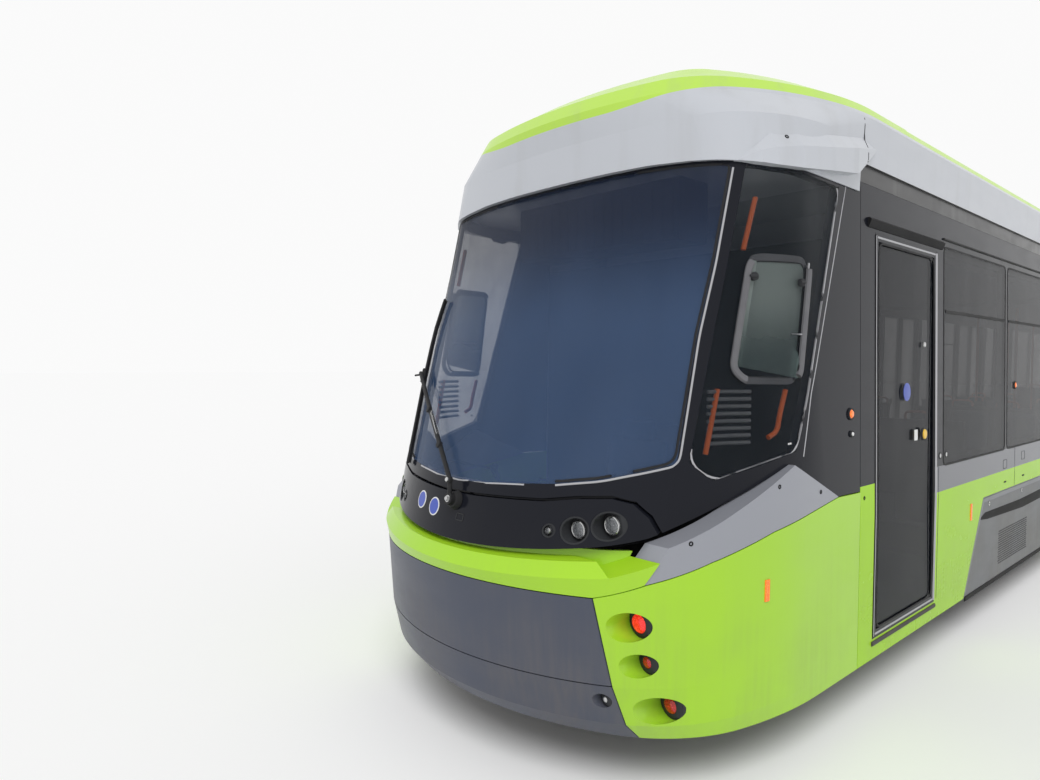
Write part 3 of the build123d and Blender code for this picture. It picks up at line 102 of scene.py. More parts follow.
class Graph:
    """A small builder for one shader or geometry node tree."""

    def __init__(self, tree: bpy.types.NodeTree) -> None:
        """Keeps the tree.

        Args:
            tree: The node tree to add to.
        """
        self.tree = tree

    def node(
        self, kind: str, values: dict[str | int, object] | None = None, **props: object,
    ) -> bpy.types.Node:
        """Adds a node.

        Args:
            kind: The node's type name.
            values: Input sockets by name or number, with a value or an output socket.
            props: Properties of the node itself.

        Returns:
            The new node.
        """
        made = self.tree.nodes.new(kind)
        for name, value in props.items():
            setattr(made, name, value)
        for key, value in (values or {}).items():
            self.feed(made.inputs[key], value)
        return made

    def feed(self, socket: bpy.types.NodeSocket, value: object) -> None:
        """Links a socket into an input, or sets the input's value.

        Args:
            socket: The input.
            value: A value, a colour or an output socket.
        """
        if isinstance(value, bpy.types.NodeSocket):
            self.tree.links.new(value, socket)
        elif isinstance(value, Enum):
            socket.default_value = (*value.value, 1.0)
        elif isinstance(value, tuple) and len(value) == 3 and socket.type == "RGBA":
            socket.default_value = (*value, 1.0)
        else:
            socket.default_value = value

    def math(self, operation: str, a: object, b: object = 0.0, clamp: bool = False) -> bpy.types.NodeSocket:
        """Adds a Math node and returns its output."""
        made = self.node("ShaderNodeMath", {0: a, 1: b}, operation=operation, use_clamp=clamp)
        return made.outputs[0]

    def ramp(
        self, value: object, low: float, high: float, bottom: float = 0.0, top: float = 1.0,
    ) -> bpy.types.NodeSocket:
        """Maps a value from one range to another with soft ends.

        Args:
            value: The value or its socket.
            low: The start of the range.
            high: The end of the range.
            bottom: What the start becomes.
            top: What the end becomes.

        Returns:
            The mapped value's socket.
        """
        made = self.node(
            "ShaderNodeMapRange",
            {"Value": value, "From Min": low, "From Max": high, "To Min": bottom, "To Max": top},
            interpolation_type="SMOOTHSTEP",
        )
        return made.outputs["Result"]

    def mix(self, share: object, a: object, b: object) -> bpy.types.NodeSocket:
        """Mixes two colours and returns the result.

        Args:
            share: The share of the second colour.
            a: The first colour.
            b: The second colour.

        Returns:
            The mixed colour's socket.
        """
        made = self.node("ShaderNodeMix", data_type="RGBA")
        for key, value in ((0, share), (6, a), (7, b)):
            self.feed(made.inputs[key], value)
        return made.outputs[2]

    def noise(self, where: bpy.types.NodeSocket, scale: float, detail: float = 3.0) -> bpy.types.NodeSocket:
        """Adds a noise texture and returns its value."""
        made = self.node("ShaderNodeTexNoise", {"Vector": where, "Scale": scale, "Detail": detail})
        return made.outputs["Fac"]

    def stretched(self, where: bpy.types.NodeSocket, scale: Point) -> bpy.types.NodeSocket:
        """Scales a vector axis by axis."""
        return self.node("ShaderNodeMapping", {"Vector": where, "Scale": scale}).outputs["Vector"]


class Effects:
    """The shader node groups that several finishes share, each built once."""

    def __init__(self) -> None:
        """Starts with no groups."""
        self.made: dict[str, bpy.types.NodeTree] = {}

    def group(
        self, name: str, inputs: dict[str, float], outputs: Sequence[str],
        fill: Callable[[Graph, dict[str, bpy.types.NodeSocket]], dict[str, bpy.types.NodeSocket]],
    ) -> bpy.types.NodeTree:
        """Builds a group on its first use.

        Args:
            name: The group's name.
            inputs: Its number inputs with their defaults. A vector input Where is always there.
            outputs: Its number outputs.
            fill: Called with the graph and the input sockets; returns the output sockets.

        Returns:
            The group's node tree.
        """
        if name in self.made:
            return self.made[name]
        tree = bpy.data.node_groups.new(name, "ShaderNodeTree")
        tree.interface.new_socket("Where", in_out="INPUT", socket_type="NodeSocketVector")
        for key, value in inputs.items():
            tree.interface.new_socket(
                key, in_out="INPUT", socket_type="NodeSocketFloat",
            ).default_value = value
        for key in outputs:
            tree.interface.new_socket(key, in_out="OUTPUT", socket_type="NodeSocketFloat")
        graph = Graph(tree)
        entry = graph.node("NodeGroupInput")
        results = fill(graph, {socket.name: socket for socket in entry.outputs if socket.name})
        leave = graph.node("NodeGroupOutput")
        for key, socket in results.items():
            graph.feed(leave.inputs[key], socket)
        self.made[name] = tree
        return tree

    def dust(self) -> bpy.types.NodeTree:
        """Road dust that thins out with height, broken up by clouds and drips.

        Returns:
            The shader group.
        """

        def fill(graph: Graph, given: dict[str, bpy.types.NodeSocket]) -> dict[str, bpy.types.NodeSocket]:
            """Makes the mask.

            Args:
                graph: The group's tree.
                given: The group's inputs by name.

            Returns:
                The group's outputs by name.
            """
            height = graph.node("ShaderNodeSeparateXYZ", {0: given["Where"]}).outputs["Z"]
            clouds = graph.noise(given["Where"], 2.6, 5.0)
            drips = graph.noise(graph.stretched(given["Where"], (34.0, 34.0, 1.6)), 1.0, 2.0)
            fall = graph.math("SUBTRACT", given["Top"], height)
            share = graph.math("DIVIDE", fall, given["Top"], clamp=True)
            broken = graph.math(
                "MULTIPLY", graph.ramp(clouds, 0.30, 0.72), graph.ramp(drips, 0.25, 0.8, 0.45, 1.0),
            )
            mask = graph.math("MULTIPLY", graph.math("MULTIPLY", share, broken), given["Amount"], clamp=True)
            return {"Mask": mask}

        return self.group("road_dust", {"Top": 1.2, "Amount": 0.5}, ("Mask",), fill)

    def peel(self) -> bpy.types.NodeTree:
        """The faint ripple of sprayed paint, and wiped patches in its gloss.

        Returns:
            The shader group.
        """

        def fill(graph: Graph, given: dict[str, bpy.types.NodeSocket]) -> dict[str, bpy.types.NodeSocket]:
            """Makes the height and the gloss.

            Args:
                graph: The group's tree.
                given: The group's inputs by name.

            Returns:
                The group's outputs by name.
            """
            fine = graph.noise(given["Where"], 210.0, 1.0)
            slow = graph.noise(given["Where"], 1.4, 2.0)
            smears = graph.noise(graph.stretched(given["Where"], (1.0, 1.0, 3.0)), 3.2, 4.0)
            height = graph.math(
                "ADD", graph.math("MULTIPLY", fine, given["Fine"]),
                graph.math("MULTIPLY", slow, given["Slow"]),
            )
            return {"Height": height, "Gloss": graph.ramp(smears, 0.35, 0.7)}

        return self.group("orange_peel", {"Fine": 0.02, "Slow": 1.0}, ("Height", "Gloss"), fill)

    def grain(self) -> bpy.types.NodeTree:
        """A pebbled surface of cells, from moulded plastic to cast iron.

        Returns:
            The shader group.
        """

        def fill(graph: Graph, given: dict[str, bpy.types.NodeSocket]) -> dict[str, bpy.types.NodeSocket]:
            """Makes the height and a patchy tone.

            Args:
                graph: The group's tree.
                given: The group's inputs by name.

            Returns:
                The group's outputs by name.
            """
            cells = graph.node(
                "ShaderNodeTexVoronoi", {"Vector": given["Where"], "Scale": given["Scale"]},
                feature="SMOOTH_F1",
            ).outputs["Distance"]
            rough = graph.node(
                "ShaderNodeTexNoise", {"Vector": given["Where"], "Scale": given["Scale"], "Detail": 4.0},
            )
            tone = graph.noise(given["Where"], 7.0, 5.0)
            return {
                "Height": graph.math("ADD", cells, rough.outputs["Fac"]), "Tone": graph.ramp(tone, 0.3, 0.75),
            }

        return self.group("pebble_grain", {"Scale": 400.0}, ("Height", "Tone"), fill)

    def weave(self) -> bpy.types.NodeTree:
        """Two crossed sets of threads, with a height and a mask of the upper set.

        Returns:
            The shader group.
        """

        def fill(graph: Graph, given: dict[str, bpy.types.NodeSocket]) -> dict[str, bpy.types.NodeSocket]:
            """Makes the threads.

            Args:
                graph: The group's tree.
                given: The group's inputs by name.

            Returns:
                The group's outputs by name.
            """
            parts = graph.node("ShaderNodeSeparateXYZ", {0: given["Where"]})
            run = graph.math("MULTIPLY", parts.outputs["Y"], given["Threads"])
            rise = graph.math(
                "MULTIPLY", graph.math("ADD", parts.outputs["Z"], parts.outputs["X"]), given["Threads"],
            )
            a, b = graph.math("SINE", run), graph.math("SINE", rise)
            over = graph.math("MULTIPLY", a, b)
            return {"Height": graph.math("ABSOLUTE", over), "Mask": graph.ramp(over, -0.3, 0.3)}

        return self.group("weave", {"Threads": 2600.0}, ("Height", "Mask"), fill)


EFFECTS = Effects()


class Finish:
    """A material in the making: its tree, its shader and its object coordinates."""

    def __init__(self, name: str, **sockets: object) -> None:
        """Makes the material.

        Args:
            name: The material's name.
            sockets: Plain values of the shader, with underscores for the spaces of their names.
        """
        self.material = bpy.data.materials.new(name)
        self.material.use_nodes = True
        self.graph = Graph(self.material.node_tree)
        self.shader = self.material.node_tree.nodes["Principled BSDF"]
        for key, value in sockets.items():
            self.graph.feed(self.shader.inputs[key.replace("_", " ")], value)
        self.where = self.graph.node("ShaderNodeTexCoord").outputs["Object"]
        self.xyz = self.graph.node("ShaderNodeSeparateXYZ", {0: self.where}).outputs

    def effect(self, tree: bpy.types.NodeTree, **values: float) -> dict[str, bpy.types.NodeSocket]:
        """Places a shared group and returns its outputs by name.

        Args:
            tree: The shader group.
            values: Plain values of the group's inputs.

        Returns:
            The group's outputs by name.
        """
        made = self.graph.node("ShaderNodeGroup", node_tree=tree)
        self.graph.feed(made.inputs["Where"], self.where)
        for key, value in values.items():
            self.graph.feed(made.inputs[key], value)
        return {socket.name: socket for socket in made.outputs}

    def set(self, name: str, value: object) -> None:
        """Feeds one socket of the shader."""
        self.graph.feed(self.shader.inputs[name], value)

    def bump(self, height: bpy.types.NodeSocket, strength: float, distance: float) -> None:
        """Feeds the shader's normal from a height.

        Args:
            height: The height's socket.
            strength: The bump's strength.
            distance: Its depth in metres.
        """
        made = self.graph.node(
            "ShaderNodeBump", {"Height": height, "Strength": strength, "Distance": distance},
        )
        self.set("Normal", made.outputs["Normal"])


@dataclass(frozen=True)
class Paint:
    """Sprayed vehicle paint with peel, wiped patches and road dust.

    bands lists colours from the bottom up, each with the height where it starts.
    """

    name: str
    colour: Tint
    slot: str
    roughness: float = 0.30
    metallic: float = 0.0
    coat: float = 0.3
    specular: float = 0.4
    dust: float = 0.35
    dust_top: float = 1.3
    bands: tuple[tuple[float, Tint], ...] = ()

    def build(self) -> bpy.types.Material:
        """Makes the material.

        Returns:
            The material.
        """
        made = Finish(
            self.name, Metallic=self.metallic, Coat_Weight=self.coat, Coat_Roughness=0.08,
            Specular_IOR_Level=self.specular,
        )
        graph = made.graph
        colour: object = self.colour.value
        for top, tint in self.bands:
            colour = graph.mix(graph.math("GREATER_THAN", made.xyz["Z"], top), colour, tint.value)
        peel = made.effect(EFFECTS.peel())
        dust = made.effect(EFFECTS.dust(), Top=self.dust_top, Amount=self.dust)["Mask"]
        made.set("Base Color", graph.mix(dust, colour, Tint.DUST.value))
        worn = graph.math("MULTIPLY", peel["Gloss"], 0.06)
        rough = graph.math("ADD", worn, self.roughness)
        made.set("Roughness", graph.math("ADD", rough, graph.math("MULTIPLY", dust, 0.5)))
        made.bump(peel["Height"], 0.25, 0.0012)
        return made.material


@dataclass(frozen=True)
class Fairing:
    """The roof's silver-white paint with its lime top edge, which dips towards the middle of the nose."""

    name: str = "roof_paint"
    slot: str = "roof_paint"
    edge: float = 3.235
    dip: float = 0.065
    inner: float = 1.10
    saloon: float = 13.7
    gutter: float = 3.026

    def build(self) -> bpy.types.Material:
        """Makes the material.

        Returns:
            The material.
        """
        made = Finish(self.name, Metallic=0.1, Coat_Weight=0.25, Coat_Roughness=0.1, Specular_IOR_Level=0.4)
        graph = made.graph
        across = graph.math("ABSOLUTE", made.xyz["Y"])
        along = graph.math("ABSOLUTE", made.xyz["X"])
        line = graph.math("ADD", graph.ramp(across, 0.35, self.inner, 0.0, self.dip), self.edge)
        above = graph.math("GREATER_THAN", made.xyz["Z"], line)
        outer = graph.math(
            "MAXIMUM", graph.math("GREATER_THAN", across, self.inner),
            graph.math("GREATER_THAN", along, self.saloon),
        )
        colour = graph.mix(graph.math("MULTIPLY", above, outer), Tint.SILVER.value, Tint.LIME_EDGE.value)
        saloon = graph.math("LESS_THAN", along, NOSE_X - 1.90)
        low = graph.math("MULTIPLY", graph.math("LESS_THAN", made.xyz["Z"], self.gutter), saloon)
        colour = graph.mix(low, colour, Tint.SEAL.value)
        peel = made.effect(EFFECTS.peel())
        stains = graph.noise(graph.stretched(made.where, (5.0, 5.0, 0.7)), 1.6, 5.0)
        colour = graph.mix(graph.ramp(stains, 0.48, 0.85, 0.0, 0.22), colour, (0.33, 0.33, 0.32))
        made.set("Base Color", colour)
        made.set("Roughness", graph.math("ADD", graph.math("MULTIPLY", peel["Gloss"], 0.08), 0.32))
        made.bump(peel["Height"], 0.25, 0.0012)
        return made.material


@dataclass(frozen=True)
class Glass:
    """Tinted vehicle glass that shows the room behind it darkly, wiped but not spotless. Its colour can blend
    with height into a second colour as a painted reflection.
    """

    name: str
    tint: Colour
    slot: str = "tinted_glass"
    alpha: float = 0.6
    reflection_fade: Colour | None = None
    reflection_fade_range: tuple[float, float] = (1.3, 2.9)

    def build(self) -> bpy.types.Material:
        """Makes the material.

        Returns:
            The material.
        """
        made = Finish(self.name, IOR=1.45, Specular_IOR_Level=0.17)
        graph = made.graph
        smear = graph.noise(graph.stretched(made.where, (1.0, 1.0, 2.4)), 4.0, 5.0)
        made.set("Roughness", graph.ramp(smear, 0.35, 0.75, 0.03, 0.09))
        colour: object = self.tint
        # painted reflection: the glass's colour blends with height into a second colour
        if self.reflection_fade:
            colour = graph.mix(graph.ramp(made.xyz["Z"], *self.reflection_fade_range), self.tint, self.reflection_fade)
        dust = made.effect(EFFECTS.dust(), Top=2.6, Amount=0.12)["Mask"]
        made.set("Base Color", graph.mix(dust, colour, (0.20, 0.20, 0.19)))
        film = graph.noise(graph.stretched(made.where, (2.0, 2.0, 0.5)), 2.2, 3.0)
        made.set("Alpha", graph.ramp(film, 0.3, 0.8, self.alpha, min(1.0, self.alpha + 0.10)))
        return made.material


@dataclass(frozen=True)
class Pebbled:
    """Moulded plastic, rubber or cast metal: a pebbled surface with a patchy tone."""

    name: str
    colour: Colour
    patch: Colour
    slot: str
    roughness: float = 0.6
    metallic: float = 0.0
    scale: float = 400.0
    depth: float = 0.0006
    dust: float = 0.3

    def build(self) -> bpy.types.Material:
        """Makes the material.

        Returns:
            The material.
        """
        made = Finish(self.name, Metallic=self.metallic, Specular_IOR_Level=0.35)
        graph = made.graph
        grain = made.effect(EFFECTS.grain(), Scale=self.scale)
        dust = made.effect(EFFECTS.dust(), Top=1.3, Amount=self.dust)["Mask"]
        base = graph.mix(grain["Tone"], self.colour, self.patch)
        made.set("Base Color", graph.mix(dust, base, Tint.DUST.value))
        made.set("Roughness", graph.ramp(grain["Tone"], 0.0, 1.0, self.roughness, self.roughness + 0.12))
        made.bump(grain["Height"], 0.4, self.depth)
        return made.material


@dataclass(frozen=True)
class Lens:
    """A lamp's moulded lens: a field of small optic cells, lit or dark, each cell with a painted highlight in
    its middle.
    """

    name: str
    colour: Tint
    slot: str = "lamp_lens"
    glow: float = 0.0
    cells: float = 160.0
    alpha: float = 1.0

    def build(self) -> bpy.types.Material:
        """Makes the material.

        Returns:
            The material.
        """
        made = Finish(
            self.name, Roughness=0.12, Coat_Weight=0.4, Coat_Roughness=0.03, Alpha=self.alpha,
            Emission_Strength=self.glow,
        )
        graph = made.graph
        cells = graph.node(
            "ShaderNodeTexVoronoi", {"Vector": made.where, "Scale": self.cells}, feature="SMOOTH_F1",
        ).outputs["Distance"]
        # painted highlight: every cell is painted lighter towards its middle
        painted_glint = graph.ramp(cells, 0.05, 0.45, 1.0, 0.0)
        bright = tuple(min(1.0, channel * 2.2 + 0.02) for channel in self.colour.value)
        colour = graph.mix(painted_glint, self.colour.value, bright)
        made.set("Base Color", colour)
        made.set("Emission Color", colour)
        made.bump(cells, 0.5, 0.0015)
        return made.material


@dataclass(frozen=True)
class Woven:
    """The hard-wearing cloth of the seats, with a sparse two-tone weave."""

    name: str
    colour: Colour
    thread: Colour
    slot: str = "seat_fabric"

    def build(self) -> bpy.types.Material:
        """Makes the material.

        Returns:
            The material.
        """
        made = Finish(self.name, Sheen_Weight=0.25, Roughness=0.85)
        weave = made.effect(EFFECTS.weave())
        patches = made.graph.noise(made.where, 9.0, 4.0)
        tone = made.graph.mix(
            made.graph.ramp(patches, 0.35, 0.75), self.colour, tuple(c * 1.5 for c in self.colour),
        )
        made.set("Base Color", made.graph.mix(weave["Mask"], tone, self.thread))
        made.bump(weave["Height"], 0.5, 0.0008)
        return made.material


class Palette:
    """Every finish of the tram, built once and given out by name."""

    FINISHES = (
        Paint("lime_paint", Tint.LIME, "lime_paint", dust=0.30),
        Paint("slate_paint", Tint.SLATE, "slate_paint", roughness=0.40, coat=0.12, dust=0.45),
        Paint("silver_paint", Tint.SHOULDER, "silver_paint", roughness=0.36, metallic=0.3),
        Paint("silver_trim", Tint.TRIM, "silver_paint", roughness=0.38, metallic=0.25, coat=0.1, dust=0.1),
        Paint("black_gloss", Tint.BLACK, "black_gloss", roughness=0.12, coat=0.0, specular=0.15, dust=0.10),
        Paint("black_matt", Tint.SEAL, "black_gloss", roughness=0.65, coat=0.0, specular=0.2, dust=0.1),
        Paint(
            "body_paint", Tint.LIME, "body_paint", dust=0.25, roughness=0.20, coat=0.05, specular=0.14,
            bands=((1.105, Tint.STRIPE), (1.2745, Tint.BLACK)),
        ),
        Paint(
            "door_post", Tint.LIME, "body_paint", dust=0.25, roughness=0.20, coat=0.05, specular=0.14,
            bands=((1.2745, Tint.BLACK),),
        ),
        Paint("roof_case", Tint.ROOF_GREY, "roof_paint", roughness=0.5, coat=0.0, dust=0.0),
        Paint("door_black", Tint.BLACK, "door_black", roughness=0.20, coat=0.0, specular=0.15, dust=0.2),
        Paint("cover_grey", Tint.COVER, "body_paint", roughness=0.45, coat=0.1, dust=0.5),
        Paint("cover_band", Tint.STRIPE, "body_paint", roughness=0.42, coat=0.1, dust=0.4),
        Paint("button_yellow", Tint.YELLOW, "lamp_lens", roughness=0.35, dust=0.0),
        Paint("disc_blue", Tint.BLUE, "lamp_lens", roughness=0.35, dust=0.0),
        Paint("disc_white", Tint.WHITE, "lamp_lens", roughness=0.4, dust=0.0),
        Paint("pole_orange", Tint.ORANGE, "cab_plastic", roughness=0.35, dust=0.0),
        Fairing(),
        # painted reflection: the windscreen is lighter blue low down and darker towards the top; the cab's
        # side glass and the hopper's pane grow lighter towards the top
        Glass(
            "screen_glass", (0.055, 0.095, 0.185), alpha=0.50, reflection_fade=(0.020, 0.030, 0.060),
            reflection_fade_range=(2.1, 2.75),
        ),
        Glass("cab_glass", (0.014, 0.020, 0.028), alpha=0.20, reflection_fade=(0.05, 0.06, 0.07), reflection_fade_range=(2.3, 2.9)),
        Glass(
            "hopper_glass", (0.10, 0.14, 0.135), alpha=0.62, reflection_fade=(0.36, 0.42, 0.40), reflection_fade_range=(1.95, 2.3),
        ),
        Glass("tinted_glass", (0.010, 0.012, 0.017), alpha=0.55),
        Pebbled("frame_steel", (0.045, 0.045, 0.05), (0.06, 0.055, 0.05), "frame_steel", scale=120.0),
        Pebbled("cab_plastic", (0.020, 0.021, 0.024), (0.032, 0.034, 0.037), "cab_plastic", dust=0.0),
        Pebbled(
            "grey_rubber", (0.115, 0.115, 0.125), (0.15, 0.15, 0.16), "cab_plastic", dust=0.1, roughness=0.5,
        ),
        Pebbled(
            "black_rubber", (0.010, 0.010, 0.011), (0.020, 0.020, 0.021), "bellows_rubber", dust=0.1,
            roughness=0.6,
        ),
        Pebbled(
            "floor_vinyl", (0.085, 0.09, 0.10), (0.13, 0.135, 0.145), "frame_steel", dust=0.0, scale=260.0,
        ),
        Pebbled(
            "bogie_iron", (0.035, 0.034, 0.036), (0.07, 0.055, 0.045), "bogie_iron", scale=90.0, depth=0.0012,
            dust=0.8,
        ),
        Pebbled("wheel_steel", (0.16, 0.15, 0.14), (0.28, 0.25, 0.22), "wheel_steel", 0.34, 0.9, 60.0),
        Pebbled(
            "bright_steel", (0.50, 0.50, 0.50), (0.62, 0.62, 0.62), "wheel_steel", 0.22, 0.95, 300.0, 0.0002,
            0.0,
        ),
        Pebbled(
            "reflector", (0.30, 0.31, 0.33), (0.50, 0.50, 0.52), "lamp_lens", 0.12, 0.9, 90.0, 0.0008, 0.0,
        ),
        Pebbled(
            "bellows_rubber", (0.016, 0.016, 0.018), (0.030, 0.030, 0.032), "bellows_rubber", 0.7, 0.0, 160.0,
        ),
        Pebbled(
            "panto_steel", (0.20, 0.205, 0.215), (0.13, 0.13, 0.135), "panto_steel", 0.42, 0.5, 150.0,
            dust=0.0,
        ),
        Pebbled(
            "carbon_strip", (0.012, 0.012, 0.012), (0.04, 0.04, 0.04), "panto_steel", 0.5, 0.2, 200.0,
            dust=0.0,
        ),
        Pebbled(
            "insulator", (0.17, 0.035, 0.02), (0.24, 0.06, 0.04), "panto_steel", 0.25, 0.0, 90.0, 0.0002, 0.0,
        ),
        Woven("seat_fabric", (0.022, 0.040, 0.085), (0.075, 0.11, 0.18)),
        Lens("lamp_lens", Tint.RED),
        Lens("lamp_lit", Tint.RED, glow=1.3),
        Lens("lamp_amber", Tint.AMBER, glow=0.25),
        Lens("lamp_clear", Tint.CLEAR, alpha=0.30, cells=90.0),
    )

    def __init__(self) -> None:
        """Builds the finishes."""
        self.made = {finish.name: finish.build() for finish in self.FINISHES}
        self.slots = {finish.name: finish.slot for finish in self.FINISHES}

    def __getitem__(self, name: str) -> bpy.types.Material:
        """The material of that name."""
        return self.made[name]


class Shape:
    """A mesh in the making, in the part's own frame, of closed shells."""

    def __init__(self) -> None:
        """Starts empty."""
        self.points: list[Vector] = []
        self.faces: list[tuple[int, ...]] = []

    def add(self, points: Iterable[Sequence[float]], faces: Iterable[Sequence[int]]) -> "Shape":
        """Adds points and the faces that index them, and returns the shape.

        Args:
            points: The new points.
            faces: The new faces, numbered from the first new point.

        Returns:
            The shape itself.
        """
        base = len(self.points)
        self.points += [Vector(point) for point in points]
        self.faces += [tuple(base + i for i in face) for face in faces]
        return self

    def rings(self, rings: Sequence[Sequence[Vector]], closed: bool = False) -> "Shape":
        """Skins rings of equal length.

        Args:
            rings: The rings in order.
            closed: Whether the last ring joins the first; otherwise both ends get a cap.

        Returns:
            The shape itself.
        """
        n, count = len(rings[0]), len(rings)
        faces: list[tuple[int, ...]] = []
        for i in range(count if closed else count - 1):
            j = (i + 1) % count
            faces += [(i * n + k, i * n + (k + 1) % n, j * n + (k + 1) % n, j * n + k) for k in range(n)]
        if not closed:
            faces += [tuple(range(n)), tuple((count - 1) * n + k for k in range(n))]
        return self.add([point for ring in rings for point in ring], faces)

    def join(self, *others: "Shape") -> "Shape":
        """Adds other shapes and returns this one.

        Args:
            others: The shapes to take in.

        Returns:
            The shape itself.
        """
        for other in others:
            self.add(other.points, other.faces)
        return self

    def moved(self, matrix: Matrix) -> "Shape":
        """A copy of the shape, moved by a matrix."""
        return Shape().add([matrix @ point for point in self.points], self.faces)

    def both_sides(self) -> "Shape":
        """The shape with its mirror image on the tram's other side."""
        return Shape().join(self, self.moved(MIRROR))

    def mesh(self, name: str, crease: float = 32.0) -> bpy.types.Mesh:
        """Makes the mesh, with outward normals and sharp edges above an angle.

        Args:
            name: The mesh's name.
            crease: The angle in degrees above which an edge stays sharp.

        Returns:
            The mesh.
        """
        data = bpy.data.meshes.new(name)
        data.from_pydata(self.points, [], self.faces)
        work = bmesh.new()
        work.from_mesh(data)
        bmesh.ops.remove_doubles(work, verts=work.verts, dist=1e-6)
        bmesh.ops.recalc_face_normals(work, faces=work.faces)
        for face in work.faces:
            face.smooth = True
        for edge in work.edges:
            edge.smooth = edge.calc_face_angle(0.0) < math.radians(crease)
        work.to_mesh(data)
        work.free()
        return data


class Yard:
    """Sets finished meshes into the scene as pieces that ride on bodies."""

    def __init__(self, palette: Palette) -> None:
        """Keeps the palette.

        Args:
            palette: The finishes.
        """
        self.palette = palette
        self.count = 0

    def place(self, mesh: bpy.types.Mesh, name: str, body: str | None, finish: str) -> bpy.types.Object:
        """Links a mesh as a piece.

        Args:
            mesh: The piece's mesh, in the part's frame.
            name: The piece's name.
            body: The body that it rides on, or None for a piece that rides on none.
            finish: The name of its finish.

        Returns:
            The piece.
        """
        item = bpy.data.objects.new(name, mesh)
        bpy.context.scene.collection.objects.link(item)
        item.data.materials.clear()
        item.data.materials.append(self.palette[finish])
        if body:
            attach(item, body)
        self.count += 1
        return item

    def piece(
        self, shape: Shape, name: str, body: str, finish: str, crease: float = 32.0,
    ) -> bpy.types.Object:
        """Places one shape as a piece."""
        return self.place(shape.mesh(name, crease), name, body, finish)

    def ends(self, shape: Shape, stem: str, finish: str, bodies: tuple[str, str] = ("front", "rear")) -> None:
        """Places a shape of the front half and its turned copy at the rear.

        Args:
            shape: The shape in the front half.
            stem: The pieces' name without the body.
            finish: The name of their finish.
            bodies: The bodies of the front half and of the rear half.
        """
        for body, matrix in zip(bodies, (Matrix(), TURN)):
            self.piece(shape.moved(matrix), f"{stem}_{body}", body, finish)

    def section(self, shape: Shape, stem: str, body: str, finish: str) -> None:
        """Places a shape on a section, and its turned copy on the section's twin, if it has one.

        Args:
            shape: The shape in the middle section or the front half.
            stem: The pieces' name without the body.
            body: The section.
            finish: The name of their finish.
        """
        if body in TWINS:
            self.ends(shape, stem, finish, TWINS[body])
        else:
            self.piece(shape, f"{stem}_{body}", body, finish)


class Skin:
    """The outside of some CAD nodes, to lay trim on."""

    def __init__(self, *names: str) -> None:
        """Reads the nodes.

        Args:
            names: The nodes' names.
        """
        points: list[Vector] = []
        faces: list[tuple[int, ...]] = []
        for name in names:
            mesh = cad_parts[name].data
            base = len(points)
            points += [vertex.co.copy() for vertex in mesh.vertices]
            faces += [tuple(base + i for i in face.vertices) for face in mesh.polygons]
        self.tree = BVHTree.FromPolygons(points, faces)

    def near(self, point: Sequence[float]) -> tuple[Vector, Vector]:
        """The nearest place on the skin and its outward normal."""
        place, normal, _, _ = self.tree.find_nearest(Vector(point))
        return place, normal

    def ray(self, start: Sequence[float], toward: Sequence[float]) -> tuple[Vector, Vector]:
        """The first place that a ray meets and its normal, or the nearest place if it misses."""
        place, normal, _, _ = self.tree.ray_cast(Vector(start), Vector(toward).normalized())
        return (place, normal) if place else self.near(start)


def cab(points: Path) -> list[Vector]:
    """Points of the cab, given by the distance from the nose tip, the place across and the height."""
    return [Vector((NOSE_X + x, y, z)) for x, y, z in points]


def frange(low: float, high: float, step: float) -> list[float]:
    """Even values from low to high.

    Args:
        low: The first value.
        high: The last value.
        step: The wished step.

    Returns:
        The values.
    """
    count = max(1, round((high - low) / step))
    return [low + (high - low) * i / count for i in range(count + 1)]


def resampled(path: Sequence[Vector], step: float, closed: bool) -> list[Vector]:
    """Even points along a path, its corners kept.

    Args:
        path: The path's corners.
        step: The distance between points.
        closed: Whether the path joins its start.

    Returns:
        The points.
    """
    ends = list(path) + ([path[0]] if closed else [])
    out: list[Vector] = []
    for a, b in zip(ends, ends[1:]):
        count = max(1, round((b - a).length / step))
        out += [a.lerp(b, i / count) for i in range(count)]
    return out if closed else out + [ends[-1]]


def rounded(path: Sequence[Vector], radius: float, closed: bool = True, cuts: int = 5) -> list[Vector]:
    """A path with its corners turned into soft bends.

    Args:
        path: The corners.
        radius: How far from each corner its bend starts.
        closed: Whether the path joins its start.
        cuts: Points in each bend.

    Returns:
        The softened path.
    """
    out: list[Vector] = []
    count = len(path)
    for i, corner in enumerate(path):
        if not closed and i in (0, count - 1):
            out.append(corner)
            continue
        before, after = path[i - 1], path[(i + 1) % count]
        reach = min(radius, (before - corner).length * 0.45, (after - corner).length * 0.45)
        a = corner + (before - corner).normalized() * reach
        b = corner + (after - corner).normalized() * reach
        for k in range(cuts + 1):
            t = k / cuts
            out.append(a.lerp(corner, t).lerp(corner.lerp(b, t), t))
    return out


def strip(
    skin: Skin, path: Sequence[Vector], profile: Sequence[tuple[float, float]], closed: bool = False,
    step: float = 0.04, lift: float = 0.0,
) -> Shape:
    """Sweeps a profile along a path that is laid on a skin.

    Args:
        skin: The skin.
        path: The path near the skin.
        profile: The closed profile: across the path, and out from the skin.
        closed: Whether the path joins its start.
        step: The distance between rings.
        lift: How far the whole profile is moved out.

    Returns:
        The swept shape.
    """
    laid = [skin.near(point) for point in resampled(path, step, closed)]
    count = len(laid)
    rings = []
    for i, (place, _) in enumerate(laid):
        before = laid[i - 1 if closed or i else 0]
        after = laid[(i + 1) % count if closed or i < count - 1 else count - 1]
        normal = (before[1] + laid[i][1] + after[1]).normalized()
        side = normal.cross(after[0] - before[0]).normalized()
        rings.append([place + side * u + normal * (v + lift) for u, v in profile])
    return Shape().rings(rings, closed)


